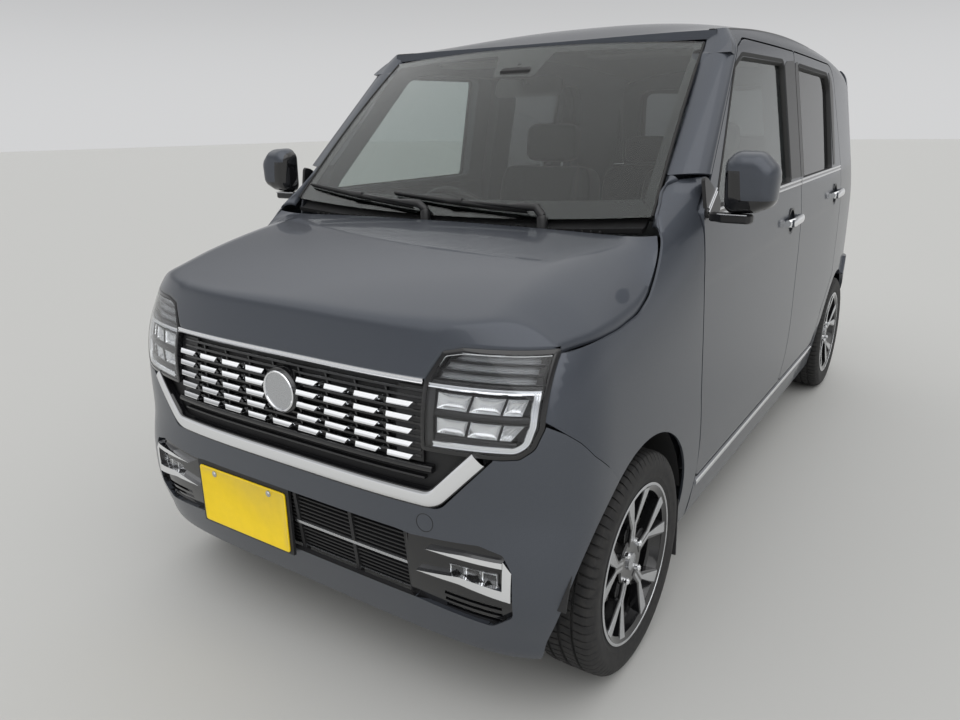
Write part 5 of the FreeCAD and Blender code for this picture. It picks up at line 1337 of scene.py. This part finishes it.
class KEI_OT_wheels(bpy.types.Operator):
    """Builds the tyres with their tread, the rims with five forked spokes, and the brake discs"""
    bl_idname = "kei.wheels"
    bl_label = "Wheels"

    def execute(self, context):
        for place, y in zip(("front", "rear"), AXLE_Y):
            centre = (WHEEL_X, y, TYRE_R)
            nuts = [lathe(NUT, (WHEEL_X + 0.0540, y + 0.050 * math.cos(a), TYRE_R + 0.050 * math.sin(a)), 12)
                    for a in np.radians((45, 135, 225, 315))]
            for name, part, finish, slot, smooth, nodes in (
                    ("tread", self.tyre(centre), "tyre", None, 22, ["tyre"]),
                    ("barrel", self.barrel(centre), "alloy black", None, 35, ["rim"]),
                    ("spokes", self.spokes(centre), "alloy black", None, 35, []),
                    ("spoke_faces", self.faces(centre), "alloy cut", None, 35, []),
                    ("rim_edge", lathe(RIM_EDGE, centre, 128), "alloy cut", None, 35, []),
                    ("wheel_nuts", join(nuts), "chrome", None, 30, []),
                    ("wheel_cap", lathe(CENTRE_CAP, centre, 48), "satin", "wheel_alloy", 30, []),
                    ("brake", lathe(BRAKES[place], centre, 96), "iron", None, 35, [])):
                per_side(f"{name}_{place}", part, finish, f"wheel_{place}_%s", slot, smooth,
                         [f"{node}_{place}_%s" for node in nodes])
        return {"FINISHED"}

    @staticmethod
    def tyre(centre):
        """Radius and offset of a rounded section, turned about the axle: sidewalls with a shallow ring step,
        a tread with three grooves, and cuts across its shoulders that repeat 76 times and lean with the
        offset. The third column is how deep the cuts are there, as a share."""
        half = [(0.1905, 0.0635, 0), (0.1960, 0.0668, 0), (0.2055, 0.0705, 0), (0.2180, 0.0748, 0),
                (0.2200, 0.0746, 0), (0.2330, 0.0782, 0), (0.2460, 0.0796, 0), (0.2560, 0.0782, 0),
                (0.2610, 0.0762, 0.35), (0.2690, 0.0722, 1), (0.2752, 0.0668, 1), (0.2785, 0.0600, 1),
                (0.2800, 0.0500, 1), (0.2803, 0.0385, 1), (0.2803, 0.0372, 0), (0.2745, 0.0360, 0),
                (0.2745, 0.0310, 0), (0.2806, 0.0298, 0.6), (0.2808, 0.0200, 0.8), (0.2808, 0.0048, 0.6),
                (0.2750, 0.0038, 0)]
        half = np.array(half)
        section = np.concatenate([half, (half * (1, -1, 1))[::-1]])
        radius, x, share = section.T
        count, depth = 76, 0.0042
        phase = np.array([0.0, 0.05, 0.17, 0.22, 0.60])
        cut = np.tile([0.0, 1.0, 1.0, 0.0, 0.0], count)[:, None]
        turn = ((np.arange(count)[:, None] + phase) / count * 2 * np.pi).reshape(-1, 1)
        r = radius - cut * share * depth
        a = turn + 0.55 * np.abs(x) + np.where(x < 0, 0.5 * np.pi / count, 0.0)
        return grid(np.stack([x + 0 * r, r * np.cos(a), r * np.sin(a)], -1) + np.asarray(centre))

    @staticmethod
    def barrel(centre):
        """Two turned profiles: the rim between its lips, and the hub."""
        profile = [(0.1985, 0.0675), (0.1985, 0.0722), (0.1955, 0.0730), (0.1905, 0.0700), (0.1815, 0.0660),
                   (0.1790, 0.0500), (0.1700, 0.0330), (0.1640, 0.0), (0.1640, -0.0330), (0.1790, -0.0520),
                   (0.1815, -0.0700), (0.1985, -0.0722), (0.1985, -0.0675), (0.1895, -0.0650),
                   (0.1890, -0.0540), (0.1680, -0.0360), (0.1680, 0.0360), (0.1890, 0.0540),
                   (0.1895, 0.0650)]
        hub = [(0.020, 0.0530), (0.060, 0.0545), (0.0640, 0.0500), (0.0600, 0.0260), (0.020, 0.0260)]
        return join([lathe(profile, centre, 128), lathe(hub, centre, 64)])

    @staticmethod
    def on_wheel(centre, degrees, base):
        """Places (u, v, lift) of the wheel's face, dished towards the hub, turned about the axle."""
        c, s = math.cos(math.radians(degrees)), math.sin(math.radians(degrees))

        def place(u, v, lift):
            x = 0.0560 + 0.0125 * np.clip((np.hypot(u, v) - 0.055) / 0.130, 0, 1) ** 1.4 + lift + base
            return np.stack([centre[0] + x, centre[1] + u * c - v * s, centre[2] + u * s + v * c], -1)
        return place

    def fork(self, centre, outline, radius, step, depth, bevel, base, twice=True):
        """An outline cut through a depth at each of the five spokes, and its mirror image beside it."""
        shape = dense(rounded(outline, *radius), step)
        shapes = [shape, (shape * (-1, 1))[::-1]] if twice else [shape]
        return [plug(s, self.on_wheel(centre, 72 * i, base), depth, bevel) for i in range(5) for s in shapes]

    def spokes(self, centre):
        """Five forked spokes: a stem from the hub, two arms that spread to the rim, and a web in each
        fork."""
        stem = [(-0.0185, 0.046), (0.0185, 0.046), (0.0150, 0.112), (-0.0150, 0.112)]
        arm = [(-0.0020, 0.094), (0.0165, 0.094), (0.0700, 0.1795), (0.0300, 0.1905)]
        web = [(0.016, 0.056, 0.004), (0.026, 0.052, 0.004), (0.0290, 0.084, 0.004), (0.0165, 0.104, 0.004)]
        return join(self.fork(centre, stem, (0.003,), 0.02, 0.030, 0.0015, 0.0, False)
                    + self.fork(centre, arm, (0.003,), 0.02, 0.026, 0.0015, 0.0)
                    + self.fork(centre, web, (0.003,), 0.02, 0.020, 0.0015, -0.010))

    def faces(self, centre):
        """The bright cut faces of the forks: each half runs beside the stem, bends at the fork and widens to
        the rim."""
        half = [(0.0030, 0.058, 0.001), (0.0100, 0.058, 0.002), (0.0110, 0.102, 0.004),
                (0.0660, 0.1800, 0.002), (0.0350, 0.1885, 0.002), (0.0150, 0.1400, 0.003),
                (0.0035, 0.1080, 0.002)]
        return join(self.fork(centre, half, (0.002, 3), 0.015, 0.002, 0.0005, 0.0010))


# Tail: lamps, handle, wiper, stop lamp, reflectors
class KEI_OT_tail(bpy.types.Operator):
    """Builds the tail lamps and the small pieces of the tailgate and rear bumper"""
    bl_idname = "kei.tail"
    bl_label = "Tail"

    def execute(self, context):
        zones("rear_bumper", ["bumper", "black"], lambda c: (c[:, 2] < 0.285).astype(int))
        for name, z0, z1, s0, s1, high, low, finish, nodes in (
                ("backs", 0.642, 1.083, 0.0, 1.0, -0.012, -0.045, "gloss black", ["tail_lamps"]),
                ("red_tops", 0.872, 1.076, 0.06, 0.97, 0.0, -0.006, "red lens", ()),
                ("clear_parts", 0.760, 0.862, 0.06, 0.97, -0.0005, -0.006, "clear plastic", ()),
                ("red_feet", 0.650, 0.750, 0.06, 0.97, 0.0, -0.006, "red lens", ())):
            piece("tail_lamp_" + name, both(self.patch(z0, z1, s0, s1, high, low)), finish, instead=nodes)
        guide = [self.patch(*edges, -0.0065, -0.0105)
                 for edges in ((0.890, 1.058, 0.16, 0.26), (0.890, 1.058, 0.62, 0.70),
                               (0.890, 0.905, 0.26, 0.62), (1.043, 1.058, 0.26, 0.62))]
        piece("tail_lamp_guides", both(join(guide)), "red glow")
        bulbs = [self.patch(0.772, 0.850, s, s + 0.26, -0.0070, -0.0110) for s in (0.14, 0.46)]
        piece("tail_lamp_bowls", both(join(bulbs)), "reflector")
        self.gate()
        outline = [(0.470, 0.395, 0.008), (0.570, 0.398, 0.008), (0.570, 0.420, 0.008),
                   (0.470, 0.418, 0.008)]
        piece("rear_reflectors", both(cover(rounded(outline), on_tail, 0.0170, 0.0100, 8, 12)), "red lens")
        return {"FINISHED"}

    @staticmethod
    def patch(z0, z1, s0, s1, high, low):
        """Part of the rounded rear corner between two heights, from the tailgate's edge (share 0) forward to
        the lamp's front edge (share 1). The plan angles of both edges come from the surface at each
        height."""
        z = np.linspace(z0, z1, 15)[:, None]
        turn = np.linspace(2.0, 88.0, 400)[None]
        surface = tail_point(turn, z)
        first = np.array([np.interp(-0.5815, -row[:, 0], turn[0]) for row in surface])[:, None]
        last = np.array([np.interp(1.5545, row[:, 1], turn[0]) for row in surface])[:, None]
        share = np.linspace(s0, s1, 22)[None]
        angle = first + (last - first) * share
        return shell(tail_point(angle, z, high), tail_point(angle, z, low))

    @staticmethod
    def gate():
        """Handle bar over the plate's bare place, its lamps, the wiper, and the stop lamp under the
        spoiler."""
        bar = [(-0.016, -0.004), (-0.016, 0.006), (-0.010, 0.0110), (0.004, 0.0120), (0.014, 0.0070),
               (0.016, -0.004)]
        piece("tailgate_bar", level_band(np.linspace(-0.260, 0.260, 31), 0.932, bar, on_tail), "paint",
              "tailgate", smooth=35)
        bead = even([(0.0, 0.0132), (0.0030, 0.0118), (0.0030, 0.006)])
        line = level_band(np.linspace(-0.255, 0.255, 31), 0.926, bead, on_tail)
        piece("tailgate_bar_line", line, "chrome", "tailgate")
        y = float(face_y(0.0, 0.800, tail_point))
        lamps = [slab_box((x - 0.022, y - 0.012, 0.893), (x + 0.022, y + 0.002, 0.9075))
                 for x in (-0.09, 0.09)]
        piece("plate_lamps", join(lamps), "clear plastic", "tailgate", "lamp_lens")
        cone = [(0.0001, 0.020), (0.014, 0.019), (0.021, 0.012), (0.023, 0.0), (0.0001, 0.0)]
        parts = [knob(cone, on_tail(0.0, 1.105), 90, 32)]
        share = np.linspace(0, 1, 16)
        parts.append(tube(on_tail(0.335 * share, 1.107 + 0.060 * share, 0.016 - 0.004 * share),
                          0.0085 - 0.004 * share, 10))
        piece("rear_wiper_arm", join(parts), "satin black", "tailgate")
        blade = np.linspace(0, 1, 20)
        spine = on_tail(0.055 + 0.320 * blade, 1.136 + 0.048 * blade, 0.0075)
        piece("rear_wiper_blade", tube(spine, 0.0055, 8), "rubber", "tailgate")
        x = np.linspace(-0.150, 0.150, 21)[None]
        v = np.linspace(0, 1, 4)[:, None]
        y = TAIL_Y - 0.0215 - 0.040 * (x / 0.575) ** 2
        top = np.stack([x + 0 * v, y + 0.0012 + 0 * v, roof_z(x, y) - 0.010 - 0.014 * v], -1)
        piece("stop_lamp", shell(top, top - np.array([0, 0.006, 0])), "red lens", "tailgate")


# Cabin, with the steering wheel's and instruments' middle
STEERING_X = -0.345


class KEI_OT_cabin(bpy.types.Operator):
    """Builds the seats, steering wheel, dashboard details, door linings, headlining and mirror"""
    bl_idname = "kei.cabin"
    bl_label = "Cabin"

    def execute(self, context):
        self.seats()
        self.wheel()
        zones("dashboard", ["trim", "gloss black"], self.dash_finish)
        vents = [slab_box((x - 0.045, -0.612, z), (x + 0.045, -0.590, z + 0.004), 0.001)
                 for x in (-0.53, -0.165, 0.165, 0.53) for z in 0.955 + 0.011 * np.arange(4)]
        piece("dash_vents", join(vents), "gloss black", slot="trim_plastic")
        hood = np.linspace(0, np.pi, 25)[:, None]
        depth = np.linspace(-0.700, -0.610, 5)[None]
        middle = np.array([STEERING_X, 0, 1.010])
        outer = np.stack(np.broadcast_arrays(0.150 * np.cos(hood), depth, 0.075 * np.sin(hood) ** 0.7), -1)
        inner = outer * np.array([0.955, 1, 0.93])
        piece("instrument_hood", shell(outer + middle, inner + middle), "trim")
        rest = [(-0.022, -0.064), (-0.022, -0.092), (-0.012, -0.104), (0.012, -0.104), (0.022, -0.090),
                (0.022, -0.064)]
        for place, y0, y1, low in (("front", -0.780, 0.190, 0.345), ("rear", 0.250, 0.930, 0.505)):
            lining = rounded([(y0, low, 0.04), (y1, low, 0.04), (y1, 1.090, 0.03), (y0, 1.090, 0.03)])
            body = f"door_{place}_%s"
            per_side("door_lining_" + place, cover(lining, on_flank, -0.0565, -0.068, 22, 20), "trim", body)
            arm = level_band(np.linspace(y0 + 0.25, y1 - 0.08, 20), 0.80, rest, on_flank)
            per_side("arm_rest_" + place, arm, "seat side", body, "trim_plastic")
        x = np.linspace(-0.545, 0.545, 25)[None]
        y = np.linspace(-0.455, 1.500, 25)[:, None]
        lining = np.stack(np.broadcast_arrays(x, y, roof_z(x, y) - 0.030), -1)
        piece("headlining", shell(lining, lining - np.array([0, 0, 0.004])), "headliner")
        glass = [(-0.125, 1.400, 0.02), (0.125, 1.400, 0.02), (0.115, 1.462, 0.02), (-0.115, 1.462, 0.02)]
        piece("cabin_mirror", cover(rounded(glass), self.tilted, 0.010, -0.010, 10, 14), "gloss black",
              slot="trim_plastic")
        stalk = tube([(0, -0.560, 1.440), (0, -0.590, 1.475), (0, -0.600, 1.500)], 0.008, 10)
        eye = slab_box((-0.055, -0.640, 1.455), (0.055, -0.575, 1.488), 0.008)
        piece("mirror_stalk", join([stalk, eye]), "black", slot="trim_plastic")
        visors = [slab_box((x - 0.17, -0.400, 1.520), (x + 0.17, -0.250, 1.534), 0.006)
                  for x in (-0.30, 0.30)]
        piece("sun_visors", join(visors), "headliner")
        return {"FINISHED"}

    @staticmethod
    def tilted(x, z, lift):
        """Points of the cabin mirror's plane, which leans back with height."""
        return np.stack(np.broadcast_arrays(x, -0.545 + 0.25 * (z - 1.43) - lift, z), -1)

    @staticmethod
    def dash_finish(c):
        """The display in the middle is glossy."""
        return (np.abs(c[:, 0]) < 0.112) & (c[:, 1] > -0.575) & (c[:, 2] > 0.900)

    @staticmethod
    def cushion(size, power, channels, pinch, crown):
        """A pad about its own middle: each half axis times a signed power of cosines and sines, so that it
        is a box with full round edges. Its sides pull in between the corners, its top is crowned, and sewn
        channels sink."""
        u = np.linspace(0, 2 * np.pi, 96, endpoint=False)[None]
        v = np.linspace(-np.pi / 2, np.pi / 2, 49)[:, None]
        c, s, across, along = (np.sign(a) * np.abs(a) ** power
                               for a in (np.cos(v), np.sin(v), np.cos(u), np.sin(u)))
        x, y, z = c * across, c * along, np.sign(s) * np.abs(s) ** 1.3 + 0 * u
        swell = np.cos(x * np.pi / 2), np.cos(y * np.pi / 2)
        grow = 1 - pinch * (1 - z ** 2) * (swell[0] + swell[1]) * 0.5
        z = z * (1 + crown * swell[0] * swell[1])
        for at, axis, deep in channels:
            line, other = (x, y) if axis == "x" else (y, x)
            sink = deep * np.exp(-((line - at) / 0.022) ** 2) * np.clip(1.15 - np.abs(other), 0, 1)
            z = z - sink * (z > 0)
        return grid(np.stack([x * grow * size[0], y * grow * size[1], z * size[2]], -1), False, True)

    def pad(self, name, shape, tilt, at, finish="seat", instead=(), roll=0.0):
        """A padded piece from a cushion's measures, with side rolls, tilted about X and set in place."""
        part = self.cushion(*shape)
        if roll:
            part = self.rolled(part, shape[0][0], roll)
        part = moved(turned(part, (1, 0, 0), tilt), at)
        obj = piece(name, part, finish, slot="seat_fabric", smooth=80, instead=instead)

    def seats(self):
        """Front seats: cushion, back and head rest, each padded, with raised side rolls. Rear bench the same
        way."""
        sides = [(0.52, "x", 0.16), (-0.52, "x", 0.16)]
        seat = ((0.232, 0.300, 0.062), 0.28, sides + [(-0.1, "y", 0.10), (0.45, "y", 0.10)], 0.05, 0.10)
        back = ((0.228, 0.325, 0.058), 0.28, sides + [(0.30, "y", 0.10), (-0.35, "y", 0.10)], 0.06, 0.08)
        head = ((0.122, 0.082, 0.052), 0.42, [], 0.02, 0.12)
        for side, way in SIDES:
            x = 0.34 * way
            self.pad("seat_cushion_" + side, seat, 5, (x, -0.085, 0.500), roll=0.034,
                     instead=["front_seats"] if side == "left" else ())
            self.pad("seat_back_" + side, back, 81, (x, 0.215, 0.822), roll=0.040)
            self.pad("head_rest_" + side, head, 84, (x, 0.262, 1.238), "seat side")
            posts = [tube([(x + s * 0.05, 0.243, 1.120), (x + s * 0.05, 0.256, 1.200)], 0.006, 10)
                     for s in (-1, 1)]
            piece("head_rest_posts_" + side, join(posts), "satin", slot="chassis_steel")
            box = slab_box((x - 0.190, -0.300, 0.364), (x + 0.190, 0.220, 0.445), 0.02)
            piece("seat_frame_" + side, box, "trim")
        lines = [(0.0, "x", 0.22), (0.5, "x", 0.12), (-0.5, "x", 0.12), (0.1, "y", 0.10)]
        self.pad("bench_cushion", ((0.530, 0.255, 0.060), 0.22, lines, 0.03, 0.08), -3, (0, 0.885, 0.492),
                 instead=["rear_seat"])
        self.pad("bench_back", ((0.522, 0.300, 0.058), 0.22, lines, 0.03, 0.08), 80, (0, 1.180, 0.800))
        for side, way in SIDES:
            self.pad("bench_head_" + side, ((0.115, 0.070, 0.045), 0.42, [], 0.02, 0.12), 85,
                     (0.29 * way, 1.232, 1.180), "seat side")
        piece("bench_frame", slab_box((-0.52, 0.700, 0.240), (0.52, 0.930, 0.435), 0.02), "trim")

    @staticmethod
    def rolled(part, half, rise):
        """Lifts the outer quarters of a pad's upper side into side rolls."""
        points, faces = part
        share = np.clip((np.abs(points[:, 0]) / half - 0.55) / 0.30, 0, 1)
        lift = rise * share ** 2 * (3 - 2 * share) * (points[:, 2] > -0.02)
        return points + lift[:, None] * (0, 0, 1), faces

    @staticmethod
    def wheel():
        """Rim: a ring thicker at the grips, in its own plane and then tilted. Hub: a crowned pad with three
        arms."""
        a = np.linspace(0, 2 * np.pi, 96, endpoint=False)
        ring = 0.178 * np.column_stack([np.cos(a), 0 * a, np.sin(a)])
        grip = 0.0145 + 0.0022 * np.exp(-((np.abs(np.sin(a)) - 0.35) / 0.2) ** 2)
        pad = [(0.0001, -0.018), (0.045, -0.012), (0.066, 0.006), (0.070, 0.034), (0.0001, 0.040)]
        parts = [tube(ring, grip, 16, closed=True), knob(pad, (0, 0, 0), 90, 48),
                 tube([(0, -0.02, 0), (0, -0.17, 0)], 0.034, 24)]
        for degrees in (0, 180, 270):
            c, s = math.cos(math.radians(degrees)), math.sin(math.radians(degrees))
            path = [(0.05 * c, -0.016, 0.05 * s), (0.12 * c, -0.012, 0.12 * s), (0.172 * c, 0.0, 0.172 * s)]
            parts.append(tube(path, [0.016, 0.013, 0.012], 12))
        whole = moved(turned(join(parts), (1, 0, 0), 25.5), (STEERING_X, -0.455, 0.930))
        piece("steering_rim", whole, "leather", smooth=50, instead=["steering_wheel"])


class KEI_OT_running_gear(bpy.types.Operator):
    """Finishes the underside, axles, block and cabin floor"""
    bl_idname = "kei.running_gear"
    bl_label = "Running gear"

    def execute(self, context):
        zones("underbody", ["underside", "carpet"], self.floor_finish)
        for node, finish in (("front_subframe", "underside"), ("rear_axle", "underside"),
                             ("fuel_tank", "black"), ("engine_block", "cast"), ("exhaust", "steel"),
                             ("knuckle_left", "iron"), ("knuckle_right", "iron")):
            dress([node], finish)
        return {"FINISHED"}

    @staticmethod
    def floor_finish(c):
        """Inside the car and over the floor's own line, which steps up under the seats and the load floor,
        it is carpet."""
        line = [(-0.91, 0.236), (-0.47, 0.236), (-0.42, 0.361), (0.30, 0.361), (0.35, 0.236), (0.86, 0.236),
                (0.92, 0.439)]
        x, y, z = c.T
        return (z > np.interp(y, *np.transpose(line))) & (y > -0.906) & (np.abs(x) < 0.617)


class KEI_OT_stage(bpy.types.Operator):
    """Floor, soft studio lights and the camera"""
    bl_idname = "kei.stage"
    bl_label = "Stage"

    def execute(self, context):
        scene = context.scene
        look, shot = scene.kei_look, scene.kei_camera
        floor = shader("studio floor", tuple(look.floor), 0.6)
        mesh = bpy.data.meshes.new("studio_floor")
        far = 60.0
        mesh.from_pydata([(-far, -far, 0), (far, -far, 0), (far, far, 0), (-far, far, 0)], [],
                         [(0, 1, 2, 3)])
        obj = bpy.data.objects.new("studio_floor", mesh)
        scene.collection.objects.link(obj)
        obj.data.materials.append(floor)
        self.sky(scene)
        sun = bpy.data.lights.new("soft_key", "SUN")
        sun.energy, sun.angle = 0.9, 1.4
        key = bpy.data.objects.new("soft_key", sun)
        key.rotation_euler = Vector((-3.0, 3.5, -6.0)).to_track_quat("-Z", "Y").to_euler()
        scene.collection.objects.link(key)
        yaw, pitch, roll = shot.turn
        ahead = Vector((math.sin(yaw) * math.cos(pitch), math.cos(yaw) * math.cos(pitch), math.sin(pitch)))
        level = Vector((math.cos(yaw), -math.sin(yaw), 0.0))
        above = level.cross(ahead)
        right = level * math.cos(roll) + above * math.sin(roll)
        up = above * math.cos(roll) - level * math.sin(roll)
        lens = bpy.data.cameras.new("camera")
        lens.lens = shot.lens
        lens.sensor_width = 36.0
        camera = bpy.data.objects.new("camera", lens)
        axes = Matrix((right, up, -ahead)).transposed()
        camera.matrix_world = Matrix.Translation(Vector(shot.place)) @ axes.to_4x4()
        scene.collection.objects.link(camera)
        scene.camera = camera
        scene.view_settings.view_transform = "Standard"
        return {"FINISHED"}

    @staticmethod
    def sky(scene):
        """Studio surroundings by height alone: a pale wall at the horizon, a dimmer band above it and a
        bright, even ceiling."""
        world = bpy.data.worlds.new("studio")
        scene.world = world
        world.use_nodes = True
        tree = world.node_tree
        back = tree.nodes["Background"]
        place = tree.nodes.new("ShaderNodeTexCoord")
        split = tree.nodes.new("ShaderNodeSeparateXYZ")
        blend = tree.nodes.new("ShaderNodeValToRGB")
        blend.color_ramp.interpolation = "B_SPLINE"
        stops = [(0.0, 0.66), (0.12, 0.64), (0.28, 0.28), (0.42, 0.34), (0.60, 1.30), (1.0, 1.60)]
        while len(blend.color_ramp.elements) < len(stops):
            blend.color_ramp.elements.new(0.5)
        for element, (at, value) in zip(blend.color_ramp.elements, stops):
            element.position = at
            element.color = (value * 0.985, value * 0.99, value, 1.0)
        tree.links.new(place.outputs["Generated"], split.inputs["Vector"])
        tree.links.new(split.outputs["Z"], blend.inputs["Fac"])
        tree.links.new(blend.outputs["Color"], back.inputs["Color"])


OPERATORS = (KEI_OT_paintwork, KEI_OT_panels, KEI_OT_front_bumper, KEI_OT_grille, KEI_OT_headlamps,
             KEI_OT_glazing, KEI_OT_side_trim, KEI_OT_mirrors, KEI_OT_wheels, KEI_OT_tail, KEI_OT_cabin,
             KEI_OT_running_gear, KEI_OT_stage)


class KEI_PT_panel(bpy.types.Panel):
    """Lists the car's pieces and their settings"""
    bl_idname = "KEI_PT_panel"
    bl_label = "Kei car"
    bl_space_type = "VIEW_3D"
    bl_region_type = "UI"
    bl_category = "Kei car"

    def draw(self, context):
        for group in (context.scene.kei_look, context.scene.kei_camera):
            box = self.layout.box()
            for key in group.__annotations__:
                box.prop(group, key)
        for operator in OPERATORS:
            self.layout.operator(operator.bl_idname)


CLASSES = (KeiLook, KeiCamera) + OPERATORS + (KEI_PT_panel,)


def register():
    for cls in CLASSES:
        bpy.utils.register_class(cls)
    bpy.types.Scene.kei_look = bpy.props.PointerProperty(type=KeiLook)
    bpy.types.Scene.kei_camera = bpy.props.PointerProperty(type=KeiCamera)


def unregister():
    del bpy.types.Scene.kei_camera
    del bpy.types.Scene.kei_look
    for cls in reversed(CLASSES):
        bpy.utils.unregister_class(cls)


def main():
    register()
    for operator in OPERATORS:
        family, name = operator.bl_idname.split(".")
        getattr(getattr(bpy.ops, family), name)()


if __name__ == "__main__":
    main()
